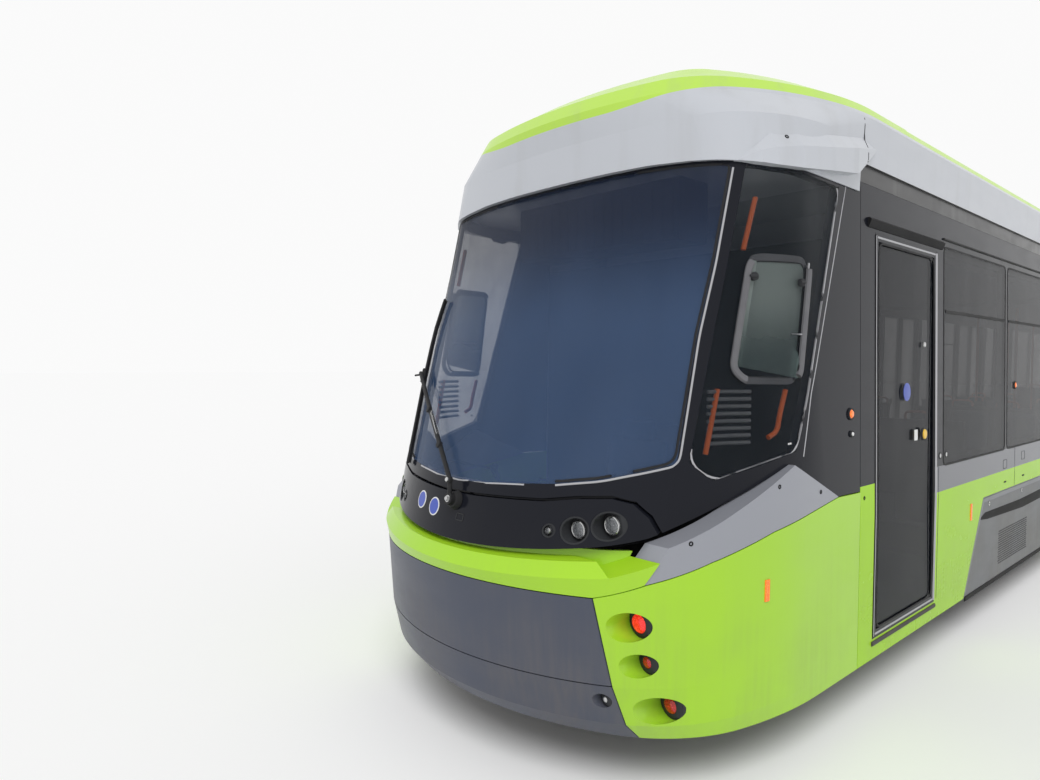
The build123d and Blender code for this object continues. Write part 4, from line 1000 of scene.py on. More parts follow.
def flat_profile(width: float, height: float, sink: float = 0.001) -> list[tuple[float, float]]:
    """A low strip with softened upper edges.

    Args:
        width: The strip's width.
        height: How far it stands out.
        sink: How far its foot goes in.

    Returns:
        The profile.
    """
    half, edge = width / 2, min(width * 0.22, height * 0.7)
    return [
        (-half, -sink), (-half, height - edge), (-half + edge, height), (half - edge, height),
        (half, height - edge), (half, -sink),
    ]


def patch(
    skin: Skin, corners: Sequence[Vector], thick: float, cuts: tuple[int, int] = (10, 10), lift: float = 0.0,
) -> Shape:
    """A thin sheet that follows a skin within four corners.

    Args:
        skin: The skin.
        corners: The four corners in order.
        thick: The sheet's thickness outwards.
        cuts: Divisions along the first and the second edge.
        lift: How far the sheet stands off the skin.

    Returns:
        The sheet.
    """
    a, b, c, d = corners
    columns, rows = cuts
    low: list[Vector] = []
    high: list[Vector] = []
    for j in range(rows + 1):
        for i in range(columns + 1):
            u, v = i / columns, j / rows
            place, normal = skin.near(a.lerp(b, u).lerp(d.lerp(c, u), v))
            low.append(place + normal * lift)
            high.append(place + normal * (lift + thick))
    n, w = len(low), columns + 1
    faces: list[tuple[int, ...]] = []
    for j in range(rows):
        for i in range(columns):
            k = j * w + i
            faces += [(k, k + 1, k + w + 1, k + w), (n + k, n + k + w, n + k + w + 1, n + k + 1)]
    rim = [i for i in range(w)] + [j * w + columns for j in range(1, rows + 1)]
    rim += [rows * w + i for i in range(columns - 1, -1, -1)] + [j * w for j in range(rows - 1, 0, -1)]
    faces += [
        (rim[i], rim[(i + 1) % len(rim)], n + rim[(i + 1) % len(rim)], n + rim[i])
        for i in range(len(rim))
    ]
    return Shape().add(low + high, faces)


def spun(place: Vector, axis: Vector, profile: Sequence[tuple[float, float]], sides: int = 24) -> Shape:
    """Turns a profile about an axis.

    Args:
        place: Where the axis starts.
        axis: The axis, along which the profile's second value counts.
        profile: Radius and distance along the axis; it starts and ends on the axis or closes on itself.
        sides: Faces around.

    Returns:
        The turned shape.
    """
    axis = axis.normalized()
    across = axis.orthogonal().normalized()
    other = axis.cross(across)
    hollow = profile[0][0] > 1e-6
    rings = []
    for k in range(sides):
        angle = math.tau * k / sides
        out = across * math.cos(angle) + other * math.sin(angle)
        rings.append([place + out * r + axis * h for r, h in profile])
    if hollow:
        return Shape().rings(rings, closed=True)
    n = len(profile)
    points = [place + axis * profile[0][1], place + axis * profile[-1][1]]
    points += [p for ring in rings for p in ring[1:-1]]
    faces: list[tuple[int, ...]] = []
    for k in range(sides):
        a, b = 2 + k * (n - 2), 2 + (k + 1) % sides * (n - 2)
        faces.append((0, a, b))
        faces += [(a + i, a + i + 1, b + i + 1, b + i) for i in range(n - 3)]
        faces.append((a + n - 3, 1, b + n - 3))
    return Shape().add(points, faces)


def tube(path: Sequence[Vector], radius: float, sides: int = 10) -> Shape:
    """A round bar along a path, with closed ends.

    Args:
        path: The tube's middle line.
        radius: Its radius.
        sides: The number of its sides.

    Returns:
        The tube.
    """
    rings = []
    side = (path[1] - path[0]).orthogonal().normalized()
    for i, point in enumerate(path):
        along = (path[min(i + 1, len(path) - 1)] - path[max(i - 1, 0)]).normalized()
        side = (side - along * side.dot(along)).normalized()
        other = along.cross(side)
        rings.append([
            point + (side * math.cos(math.tau * k / sides) + other * math.sin(math.tau * k / sides)) * radius
            for k in range(sides)
        ])
    return Shape().rings(rings)


def slab(low: Point, high: Point, edge: float = 0.004) -> Shape:
    """A box with chamfered long edges, between two corners.

    Args:
        low: The lowest corner.
        high: The highest corner.
        edge: The width of the softened edges.

    Returns:
        The block.
    """
    (x0, y0, z0), (x1, y1, z1) = low, high
    ring = [
        (y0 + edge, z0), (y1 - edge, z0), (y1, z0 + edge), (y1, z1 - edge),
        (y1 - edge, z1), (y0 + edge, z1), (y0, z1 - edge), (y0, z0 + edge),
    ]
    ends = ((x0, edge), (x0 + edge, 0.0), (x1 - edge, 0.0), (x1, edge))
    middle = Vector(((y0 + y1) / 2, (z0 + z1) / 2))
    rings = []
    for x, inset in ends:
        loop = []
        for y, z in ring:
            away = Vector((y, z)) - middle
            shrink = 1.0 - inset / max(abs(away.x), abs(away.y), 1e-6)
            loop.append(Vector((x, middle.x + away.x * shrink, middle.y + away.y * shrink)))
        rings.append(loop)
    return Shape().rings(rings)


class Repeats:
    """The Geometry Nodes trees for what repeats, each built once and run on a helper object."""

    def __init__(self, yard: Yard) -> None:
        """Builds the trees.

        Args:
            yard: Where the results are placed.
        """
        self.yard = yard
        self.rows = self.rows_tree()
        self.studs = self.studs_tree()
        self.pleats = self.pleats_tree()

    @staticmethod
    def tree(name: str, inputs: dict[str, str]) -> tuple[Graph, bpy.types.Node]:
        """Starts a tree with a geometry input and output.

        Args:
            name: The tree's name.
            inputs: Its other inputs and their socket types.

        Returns:
            The graph and the input node.
        """
        made = bpy.data.node_groups.new(name, "GeometryNodeTree")
        made.interface.new_socket("Geometry", in_out="OUTPUT", socket_type="NodeSocketGeometry")
        made.interface.new_socket("Geometry", in_out="INPUT", socket_type="NodeSocketGeometry")
        for key, kind in inputs.items():
            made.interface.new_socket(key, in_out="INPUT", socket_type=f"NodeSocket{kind}")
        graph = Graph(made)
        return graph, graph.node("NodeGroupInput")

    @staticmethod
    def close(
        graph: Graph, geometry: bpy.types.NodeSocket, material: bpy.types.NodeSocket,
    ) -> bpy.types.NodeTree:
        """Ends a tree in Realize Instances and Set Material.

        Args:
            graph: The tree.
            geometry: The socket with the instances.
            material: The socket with the finish.

        Returns:
            The finished tree.
        """
        real = graph.node("GeometryNodeRealizeInstances", {"Geometry": geometry}).outputs[0]
        made = graph.node("GeometryNodeSetMaterial", {"Geometry": real, "Material": material}).outputs[0]
        graph.node("NodeGroupOutput", {"Geometry": made})
        return graph.tree

    def rows_tree(self) -> bpy.types.NodeTree:
        """A small item in rows and columns, every other row shifted.

        Returns:
            The finished tree.
        """
        graph, given = self.tree("rows_and_columns", {
            "Item": "Object", "Start": "Vector", "Along": "Vector", "Across": "Vector", "Shift": "Vector",
            "Count": "Int", "Rows": "Int", "Material": "Material",
        })
        get = given.outputs
        row = graph.node(
            "GeometryNodeMeshLine",
            {"Count": get["Count"], "Start Location": (0.0, 0.0, 0.0), "Offset": get["Along"]}, mode="OFFSET",
        )
        rows = graph.node(
            "GeometryNodeMeshLine",
            {"Count": get["Rows"], "Start Location": get["Start"], "Offset": get["Across"]}, mode="OFFSET",
        )
        index = graph.node("GeometryNodeInputIndex").outputs[0]
        odd = graph.math("MODULO", index, 2.0)
        shift = graph.node(
            "ShaderNodeVectorMath", {0: get["Shift"], "Scale": odd}, operation="SCALE",
        ).outputs[0]
        moved = graph.node(
            "GeometryNodeSetPosition", {"Geometry": rows.outputs[0], "Offset": shift},
        ).outputs[0]
        grid = graph.node(
            "GeometryNodeInstanceOnPoints", {"Points": moved, "Instance": row.outputs[0]},
        ).outputs[0]
        points = graph.node("GeometryNodeRealizeInstances", {"Geometry": grid}).outputs[0]
        item = graph.node("GeometryNodeObjectInfo", {"Object": get["Item"]}).outputs["Geometry"]
        done = graph.node("GeometryNodeInstanceOnPoints", {"Points": points, "Instance": item}).outputs[0]
        return self.close(graph, done, get["Material"])

    def studs_tree(self) -> bpy.types.NodeTree:
        """A small item on every point of a mesh, its own Z turned to the point's aim.

        Returns:
            The finished tree.
        """
        graph, given = self.tree(
            "studs_on_points", {"Item": "Object", "Size": "Float", "Material": "Material"},
        )
        get = given.outputs
        aim = graph.node(
            "GeometryNodeInputNamedAttribute", {"Name": "aim"}, data_type="FLOAT_VECTOR",
        ).outputs["Attribute"]
        turn = graph.node("FunctionNodeAlignRotationToVector", {"Vector": aim}, axis="Z").outputs[0]
        item = graph.node("GeometryNodeObjectInfo", {"Object": get["Item"]}).outputs["Geometry"]
        done = graph.node(
            "GeometryNodeInstanceOnPoints",
            {"Points": get["Geometry"], "Instance": item, "Rotation": turn, "Scale": get["Size"]},
        ).outputs[0]
        return self.close(graph, done, get["Material"])

    def pleats_tree(self) -> bpy.types.NodeTree:
        """Folds a plain sleeve into pleats along X, by moving its points along their normals.

        Returns:
            The finished tree.
        """
        graph, given = self.tree("pleats", {
            "Start": "Float", "Length": "Float", "Pleats": "Int", "Depth": "Float", "Material": "Material",
        })
        get = given.outputs
        place = graph.node(
            "ShaderNodeSeparateXYZ", {0: graph.node("GeometryNodeInputPosition").outputs[0]},
        ).outputs["X"]
        share = graph.math("DIVIDE", graph.math("SUBTRACT", place, get["Start"]), get["Length"])
        turns = graph.math("MULTIPLY", graph.math("MULTIPLY", share, get["Pleats"]), math.tau)
        wave = graph.math("SUBTRACT", graph.math("MULTIPLY", graph.math("COSINE", turns), 0.5), 0.5)
        depth = graph.math("MULTIPLY", wave, get["Depth"])
        normal = graph.node("GeometryNodeInputNormal").outputs[0]
        offset = graph.node("ShaderNodeVectorMath", {0: normal, "Scale": depth}, operation="SCALE").outputs[0]
        moved = graph.node(
            "GeometryNodeSetPosition", {"Geometry": get["Geometry"], "Offset": offset},
        ).outputs[0]
        return self.close(graph, moved, get["Material"])

    def run(
        self, tree: bpy.types.NodeTree, base: bpy.types.Mesh, values: dict[str, object], name: str,
    ) -> bpy.types.Mesh:
        """Runs a tree on a helper object and returns the plain mesh.

        Args:
            tree: The tree.
            base: The mesh that it starts from.
            values: The tree's inputs by name.
            name: The result's name.

        Returns:
            The mesh.
        """
        helper = bpy.data.objects.new(name + "_helper", base)
        bpy.context.scene.collection.objects.link(helper)
        modifier = helper.modifiers.new("nodes", "NODES")
        modifier.node_group = tree
        for item in tree.interface.items_tree:
            if item.item_type == "SOCKET" and item.in_out == "INPUT" and item.name in values:
                modifier[item.identifier] = values[item.name]
        bpy.context.view_layer.update()
        graph = bpy.context.evaluated_depsgraph_get()
        mesh = bpy.data.meshes.new_from_object(helper.evaluated_get(graph), depsgraph=graph)
        mesh.name = name
        helper.modifiers.clear()
        bpy.data.objects.remove(helper)
        return mesh

    def item(self, shape: Shape) -> bpy.types.Object:
        """A helper object that holds the small item to repeat.

        Args:
            shape: The item's form.

        Returns:
            An object that carries it.
        """
        made = bpy.data.objects.new("item_helper", shape.mesh("item"))
        bpy.context.scene.collection.objects.link(made)
        return made

    def grid(
        self, name: str, body: str, finish: str, item: Shape, start: Point, along: Point, count: int,
        across: Point = (0.0, 0.0, 0.0), rows: int = 1, shift: Point = (0.0, 0.0, 0.0),
    ) -> bpy.types.Object:
        """Places rows and columns of an item as one piece.

        Args:
            name: The piece's name.
            body: The body that it rides on.
            finish: Its finish.
            item: The item, around the origin.
            start: Where the first item stands.
            along: The step from item to item.
            count: Items in a row.
            across: The step from row to row.
            rows: The number of rows.
            shift: How far every other row is shifted.

        Returns:
            The piece.
        """
        helper = self.item(item)
        base = bpy.data.meshes.new("empty")
        mesh = self.run(self.rows, base, {
            "Item": helper, "Start": start, "Along": along, "Across": across, "Shift": shift,
            "Count": count, "Rows": rows, "Material": self.yard.palette[finish],
        }, name)
        bpy.data.objects.remove(helper)
        return self.yard.place(mesh, name, body, finish)

    def on_points(
        self, name: str, body: str, finish: str, item: Shape, places: Sequence[tuple[Vector, Vector]],
        size: float = 1.0,
    ) -> bpy.types.Object:
        """Places an item on points, each with the direction that it faces, as one piece.

        Args:
            name: The piece's name.
            body: The body that it rides on.
            finish: The name of its finish.
            item: The form that is repeated.
            places: Where the copies stand, each with the way it faces.
            size: The scale of the copies.

        Returns:
            The piece.
        """
        base = bpy.data.meshes.new("points")
        base.from_pydata([place for place, _ in places], [], [])
        aims = base.attributes.new("aim", "FLOAT_VECTOR", "POINT")
        for value, (_, aim) in zip(aims.data, places):
            value.vector = aim
        helper = self.item(item)
        values = {"Item": helper, "Size": size, "Material": self.yard.palette[finish]}
        mesh = self.run(self.studs, base, values, name)
        bpy.data.objects.remove(helper)
        return self.yard.place(mesh, name, body, finish)


def bolt_head(radius: float, height: float, sides: int = 6) -> Shape:
    """A bolt's head with a washer, standing on the origin along Z.

    Args:
        radius: The head's radius.
        height: Its height.
        sides: The number of its sides.

    Returns:
        The head.
    """
    shape = spun(
        Vector((0, 0, -0.001)), UP,
        [(0, 0), (radius * 1.5, 0), (radius * 1.5, height * 0.3), (0, height * 0.3)], 14,
    )
    head = [(0, 0), (radius, 0), (radius, height), (radius * 0.8, height * 1.25), (0, height * 1.25)]
    return shape.join(spun(Vector(), UP, head, sides))


def socket_head(radius: float) -> Shape:
    """A flush screw with a dark hole in its middle, standing on the origin along Z.

    Args:
        radius: The head's radius.

    Returns:
        The head.
    """
    ring = [
        (radius * 0.45, -0.001), (radius, -0.001), (radius, 0.0015), (radius * 0.8, 0.003),
        (radius * 0.5, 0.0025),
    ]
    return spun(Vector(), UP, ring, 14)


@dataclass
class SideWall:
    """The plain outside of the saloon, bent at the waist: a skin for strips on walls and doors."""

    half: float = 1.25
    waist: float = 1.10
    top: float = 2.945
    lean: float = 0.037

    def near(self, point: Sequence[float]) -> tuple[Vector, Vector]:
        """The place on the left wall across from a point, and the outward normal.

        Args:
            point: A point beside the wall.

        Returns:
            The place and the normal.
        """
        x, _, z = point
        above = max(0.0, z - self.waist)
        slope = self.lean / (self.top - self.waist)
        normal = Vector((0.0, 1.0, slope if above else 0.0)).normalized()
        return Vector((x, self.half - above * slope, z)), normal

    def at(self, x: float, z: float, out: float = 0.0) -> Vector:
        """A point on the left wall, moved out by a distance."""
        place, normal = self.near((x, 0.0, z))
        return place + normal * out


WALL = SideWall()


@dataclass
class CabTrim:
    """Trim of the cab: bright edges, the hopper window, rails and blinds behind glass, markers and bolts."""

    yard: Yard
    repeats: Repeats
    edge_width: float = 0.010
    edge_height: float = 0.0035
    screen: tuple[tuple[float, float], ...] = (
        (0.567, 1.389), (0.761, 1.419), (0.916, 1.465), (0.996, 1.494), (1.005, 2.07), (1.024, 2.414),
        (1.035, 2.862),
    )
    screen_top: tuple[tuple[float, float], ...] = ((0.970, 2.884), (0.820, 2.902), (0.600, 2.914))
    screen_foot: tuple[tuple[float, float], ...] = (
        (-0.42, 1.372), (-0.2, 1.357), (0.0, 1.351), (0.2, 1.357), (0.42, 1.372),
    )
    window_top: tuple[tuple[float, float], ...] = ((-1.662, 2.853), (-0.986, 2.865))
    window: tuple[tuple[float, float], ...] = (
        (-0.986, 2.865), (-0.646, 1.501), (-0.750, 1.415), (-1.242, 1.523), (-1.330, 1.778), (-1.662, 2.853),
    )
    third: Path = (
        (-1.303, 1.231, 1.492), (-1.366, 1.233, 1.796), (-1.507, 1.227, 2.194), (-1.763, 1.212, 2.914),
    )
    hopper: Path = (
        (-0.958, 1.122, 2.461), (-1.35, 1.223, 2.464), (-1.270, 1.224, 1.841), (-0.905, 1.125, 1.845),
        (-0.846, 1.094, 1.904),
    )
    frame_width: float = 0.033
    pane_inset: float = 0.020
    latches: Path = ((-0.975, 1.137, 2.344), (-1.259, 1.220, 2.331))
    rails: tuple[Path, ...] = (
        ((-0.808, 1.080, 1.827), (-0.736, 1.069, 1.531)),
        ((-1.201, 1.214, 1.818), (-1.160, 1.207, 1.700), (-1.142, 1.203, 1.620), (-1.082, 1.190, 1.594)),
        ((-1.024, 1.131, 2.724), (-0.948, 1.118, 2.474)),
    )
    marker: Path = ((-0.984, 1.227, 0.950), (-0.984, 1.227, 0.850))
    shoulder_bolts: Path = ((-0.545, 1.113, 1.166), (-1.062, 1.239, 1.372), (-1.456, 1.250, 1.304))
    blind: tuple[float, float, float, int] = (1.575, 0.034, 0.045, 8)
    slide: Path = ((-0.905, 1.11, 2.08), (-1.288, 1.23, 2.085))
    rod: Path = ((-1.262, 1.22, 1.88), (-1.322, 1.22, 2.43))
    latch_knob: tuple[tuple[float, float], ...] = (
        (0, 0), (0.020, 0), (0.020, 0.017), (0.015, 0.021), (0, 0.022),
    )
    pins: Path = ((-1.186, 1.214, 1.561), (-1.200, 1.216, 1.562))
    pin_profile: tuple[tuple[float, float], ...] = ((0, -0.001), (0.005, -0.001), (0.005, 0.002), (0, 0.003))
    discs: Path = ((-0.131, -0.304, 1.210), (-0.106, -0.160, 1.197))
    disc_profile: tuple[tuple[float, float], ...] = ((0, 0.0), (0.042, 0.0), (0.042, 0.0022), (0, 0.0026))
    rim_profile: tuple[tuple[float, float], ...] = (
        (0.041, -0.0005), (0.0475, -0.0005), (0.0475, 0.0015), (0.041, 0.0025),
    )
    socket: Path = (
        (-0.095, 0.096, 1.196), (-0.095, 0.046, 1.196), (-0.095, 0.046, 1.162), (-0.095, 0.096, 1.162),
    )

    def build(self) -> None:
        """Makes all of it."""
        self.cage = Skin("mask_front", "glazing_front")
        self.lime = Skin("corner_panels_front")
        self.shoulder = Skin("shoulder_panels_front")
        self.roof = Skin("roof_front")
        self.edges()
        self.side_hopper()
        self.behind_glass()
        self.markers()
        self.seams()
        log.info("cab trim: %d pieces", self.yard.count)

    def ahead(self, points: Sequence[tuple[float, float]]) -> list[Vector]:
        """Front-view points laid on the cab's upper part."""
        return [self.cage.ray((NOSE_X + 1.0, y, z), (-1.0, 0.0, 0.0))[0] for y, z in points]

    def beside(self, points: Sequence[tuple[float, float]]) -> list[Vector]:
        """Side-view points laid on the cab's upper part."""
        return [self.cage.ray((NOSE_X + x, 2.0, z), (0.0, -1.0, 0.0))[0] for x, z in points]

    def edges(self) -> None:
        """The thin bright strips beside the glass, with the dark gasket round the windscreen."""
        bright = flat_profile(self.edge_width, self.edge_height)
        outside = [(y + 0.006, z - 0.006) for y, z in self.screen]
        path = rounded(self.ahead(outside), 0.05, closed=False)
        shape = strip(self.cage, path, bright).both_sides()
        inner = self.ahead(self.screen_foot)
        shape.join(strip(self.cage, inner, flat_profile(0.008, 0.002)))
        window = rounded(self.beside(self.window), 0.06)
        start = next(i for i, point in enumerate(window) if point.z < 2.80)
        rest = [point for point in window[start:] if point.z < 2.85]
        shape.join(strip(self.cage, rest, bright).both_sides())
        third = strip(self.cage, cab(self.third), flat_profile(0.007, 0.002))
        self.yard.ends(shape.join(third.both_sides()), "glass_edges", "silver_trim")
        outline = [(y - 0.006, z + 0.008) for y, z in self.screen]
        outline += [(y, z - 0.008) for y, z in self.screen_top]
        ring = self.ahead(outline)
        ring += [MIRROR @ point for point in reversed(ring)]
        gasket = strip(
            self.cage, rounded(ring, 0.05), flat_profile(0.012, 0.0022), closed=True, step=0.03, lift=0.0012,
        )
        top = strip(self.cage, self.beside(self.window_top), flat_profile(0.014, 0.0025))
        self.yard.ends(gasket.join(top.both_sides()), "glass_gaskets", "black_rubber")

    def side_hopper(self) -> None:
        """The hopper window: its padded rubber frame, clear pane, sliding glass edge, rod and latches."""
        outline = cab(self.hopper)
        middle = sum(outline, Vector()) / len(outline)
        inset = [point + (middle - point).normalized() * self.frame_width * 0.72 for point in outline]
        half, high = self.frame_width / 2, 0.016
        left = [(-half, -0.002), (-half, high * 0.5), (-half * 0.62, high * 0.92)]
        padded = [*left, (0.0, high), *((-across, out) for across, out in reversed(left))]
        ring = strip(self.cage, rounded(inset, 0.07), padded, closed=True, step=0.02, lift=0.003)
        inside = rounded([p + (middle - p).normalized() * 0.022 for p in inset], 0.06)
        lip = strip(self.cage, inside, flat_profile(0.006, 0.011), closed=True, step=0.03)
        self.yard.ends(ring.both_sides(), "hopper_frame", "grey_rubber")
        self.yard.ends(lip.both_sides(), "hopper_lip", "black_rubber")
        corners = [inset[i] + (middle - inset[i]).normalized() * self.pane_inset for i in (0, 1, 2, 4)]
        pane = patch(self.cage, corners, 0.004, (8, 12), 0.002)
        self.yard.ends(pane.both_sides(), "hopper_pane", "hopper_glass")
        slide = strip(self.cage, cab(self.slide), flat_profile(0.007, 0.004), lift=0.006)
        rod = strip(self.cage, cab(self.rod), flat_profile(0.006, 0.006), lift=0.006)
        self.yard.ends(slide.join(rod).both_sides(), "hopper_slide", "silver_trim")
        latch = Shape()
        for point in cab(self.latches):
            place, normal = self.cage.near(point)
            latch.join(spun(place, normal, self.latch_knob, 18))
            arm = (normal.cross(UP)).normalized() * 0.032
            latch.join(tube([place + normal * 0.024 - arm * 0.2, place + normal * 0.026 + arm], 0.006, 8))
        self.yard.ends(latch.both_sides(), "hopper_latches", "cab_plastic")

    def behind_glass(self) -> None:
        """The orange grab rails and the slatted blind just inside the side glass."""
        rails = Shape()
        for path in self.rails:
            inner = []
            for point in cab(path):
                place, normal = self.cage.near(point)
                inner.append(place - normal * 0.032)
            rails.join(tube(rounded(inner, 0.05, closed=False), 0.0125, 12))
        self.yard.ends(rails.both_sides(), "grab_rails", "pole_orange")
        low, step, inward, count = self.blind
        a, _ = self.cage.near(cab([(-0.770, 1.08, 1.60)])[0])
        b, _ = self.cage.near(cab([(-0.990, 1.17, 1.60)])[0])
        a, b = a - Vector((0, inward, 0)), b - Vector((0, inward, 0))
        a.z = b.z = 0.0
        for body, sign in (("front", 1.0), ("rear", -1.0)):
            for side, mirror in (("left", 1.0), ("right", -1.0)):
                ends = [Vector((sign * p.x, sign * mirror * p.y, 0.0)) for p in (a, b)]
                slat = tube([ends[0], ends[0].lerp(ends[1], 0.5) + Vector((0, 0, 0.001)), ends[1]], 0.009, 6)
                self.repeats.grid(
                    f"blind_{side}_{body}", body, "cover_grey", slat,
                    (0.0, 0.0, low), (0.0, 0.0, step), count,
                )

    def markers(self) -> None:
        """The orange marker, the indicator with its small lamp, screws, and the far side's plain discs."""
        amber = strip(self.lime, cab(self.marker), flat_profile(0.034, 0.006), step=0.02)
        housing, white = Shape(), Shape()
        spots = (
            (self.cage, cab([(-1.806, 1.237, 1.679)])[0], 0.033, 0.024, amber),
            (WALL, Vector((11.385, 1.236, 1.783)), 0.031, 0.022, amber),
            (self.cage, cab([(-1.816, 1.240, 1.572)])[0], 0.018, 0.012, white),
        )
        for skin, point, outer, inner, kind in spots:
            place, normal = skin.near(point)
            ring = [(inner, -0.001), (outer, -0.001), (outer, 0.007), (outer * 0.9, 0.010), (inner, 0.008)]
            lens = [(0, -0.001), (inner, -0.001), (inner, 0.007), (inner * 0.7, 0.013), (0, 0.015)]
            housing.join(spun(place, normal, ring, 24))
            kind.join(spun(place, normal, lens, 20))
        for point in cab(self.pins):
            white.join(spun(*self.cage.near(point), self.pin_profile, 10))
        self.yard.ends(amber.both_sides(), "side_markers", "lamp_amber")
        self.yard.ends(housing.both_sides(), "marker_rings", "cab_plastic")
        self.yard.ends(white.both_sides(), "small_lamps", "disc_white")
        disc, rim = Shape(), Shape()
        for point in cab(self.discs):
            place, normal = self.cage.near(point)
            disc.join(spun(place, normal, self.disc_profile, 32))
            rim.join(spun(place, normal, self.rim_profile, 32))
        self.yard.ends(disc, "lid_discs", "disc_blue")
        self.yard.ends(rim, "lid_disc_rims", "disc_white")
        recess = rounded(cab(self.socket), 0.006)
        edge = strip(self.cage, recess, flat_profile(0.006, 0.003), closed=True, step=0.02)
        self.yard.ends(edge, "lid_socket", "cab_plastic")
        screws: list[tuple[Vector, Vector]] = []
        for point in cab(self.shoulder_bolts):
            screws.append(self.shoulder.near(point))
        screws.append(WALL.near(cab([(-1.985, 1.25, 1.208)])[0]))
        screws.append(self.roof.near(cab([(-1.179, 1.177, 3.011)])[0]))
        screws += [(MIRROR @ place, MIRROR @ normal) for place, normal in screws]
        for body, turn in (("front", Matrix()), ("rear", TURN)):
            turned = [(turn @ place, turn @ normal) for place, normal in screws]
            self.repeats.on_points(f"cab_screws_{body}", body, "black_matt", socket_head(0.011), turned)

    def seams(self) -> None:
        """The roof's joint behind the cab, a thin dark sheet under the camera pod as painted shade for a
        recess there, and the rain lip over the door.
        """
        joint = [
            self.roof.ray((NOSE_X - 1.915, 2.0, z), (0.0, -1.0, 0.0))[0]
            for z in (3.03, 3.10, 3.18, 3.26)
        ]
        shape = strip(self.roof, joint, flat_profile(0.007, 0.0012))
        # painted shade: a thin matt black sheet on the mask under the camera pod stands in for a shaded
        # recess
        corners = (
            (15.369, 1.050, 2.863), (14.846, 1.214, 2.829), (14.666, 1.213, 2.905), (15.300, 1.070, 2.895),
        )
        shape.join(patch(self.cage, [Vector(corner) for corner in corners], 0.0012, (10, 3), 0.0002))
        path = [WALL.at(x, 2.722, -0.002) for x in (13.121, 13.5, 13.9, 14.30)]
        lip = [
            (-0.030, -0.001), (-0.030, 0.010), (-0.018, 0.022), (0.010, 0.012), (0.022, 0.004),
            (0.022, -0.001),
        ]
        shape.join(strip(WALL, path, lip, step=0.1))
        self.yard.ends(shape.both_sides(), "cab_seams", "black_matt")


@dataclass
class LampTrim:
    """Glass domes, bright reflectors and rings in the lamps' bowls."""

    yard: Yard
    tilt: Point = (-0.985, 0.12, 0.06)
    tails: tuple[tuple[float, ...], ...] = (
        (-0.351, 0.935, 0.803, 0.066, 0.044, 0.070), (-0.386, 0.961, 0.631, 0.054, 0.027, 0.062),
        (-0.477, 1.007, 0.424, 0.065, 0.039, 0.078),
    )
    bumper: tuple[tuple[float, ...], ...] = ((-0.304, 0.828, 0.459, 0.034, 0.015, 0.025),)
    heads: tuple[tuple[float, ...], ...] = (
        (-0.196, 0.580, 1.183, 0.024, 0.014, 0.022), (-0.255, 0.690, 1.194, 0.054, 0.038, 0.046),
        (-0.335, 0.818, 1.222, 0.058, 0.040, 0.046),
    )
    lens_depth: float = 0.010
    bore_gap: float = 0.001
    crown: tuple[float, ...] = (1.5708, 1.25, 0.95, 0.62, 0.3)

    def face(self, lamp: Sequence[float], axis: Vector) -> Vector:
        """The middle of a lamp's lens, on the front of its CAD disc."""
        x, y, z, _, _, depth = lamp
        return Vector((NOSE_X + x, y, z)) + axis * (depth - self.lens_depth)

    def dome(self, place: Vector, out: Vector, radius: float, rise: float) -> Shape:
        """A crowned glass that stands on a disc.

        Args:
            place: The disc's middle.
            out: The way it faces.
            radius: The glass's radius.
            rise: The height of its crown.

        Returns:
            The glass.
        """
        profile = [(0.0, 0.0)]
        profile += [(radius * math.sin(a), rise * math.cos(a) + 0.001) for a in self.crown]
        profile.append((0.0, rise + 0.001))
        return spun(place, out, profile, 28)

    def build(self) -> None:
        """Makes the domes and rings of both ends."""
        clear, red, lit, rings, bright = (Shape() for _ in range(5))
        axis = Vector((-1.0, 0.0, 0.0))
        for lamp in self.heads:
            place, radius = self.face(lamp, axis), lamp[4]
            inner, outer = radius * 0.93, radius * 1.06
            bezel = [(inner, -0.001), (outer, -0.001), (outer, 0.006), (radius * 0.98, 0.009), (inner, 0.006)]
            clear.join(self.dome(place, -axis, radius * 0.94, radius * 0.30))
            bright.join(spun(place, -axis, bezel, 28))
        axis = Vector(self.tilt).normalized()
        for i, lamp in enumerate(self.tails):
            place, radius, bore = self.face(lamp, axis), lamp[4], lamp[3] - self.bore_gap
            inner = radius * 0.97
            ring = [(inner, -0.009), (bore, -0.009), (bore, -0.003), (radius * 1.12, 0.004), (inner, 0.004)]
            (lit if i == 0 else red).join(self.dome(place, -axis, radius * 0.96, radius * 0.34))
            rings.join(spun(place, -axis, ring, 28))
        for lamp in self.bumper:
            place, radius, bore = self.face(lamp, axis), lamp[4], lamp[3] - self.bore_gap
            ring = [(radius, -0.009), (bore, -0.009), (bore, -0.004), (radius * 1.2, 0.002), (radius, 0.002)]
            bright.join(self.dome(place, -axis, radius, radius * 0.5))
            rings.join(spun(place, -axis, ring, 24))
        for shape, stem, finish in (
            (clear, "head_lenses", "lamp_clear"), (red, "tail_lenses", "lamp_lens"),
            (lit, "tail_lenses_lit", "lamp_lit"), (rings, "lamp_rings", "cab_plastic"),
            (bright, "lamp_bezels", "bright_steel"),
        ):
            self.yard.ends(shape.both_sides(), stem, finish)


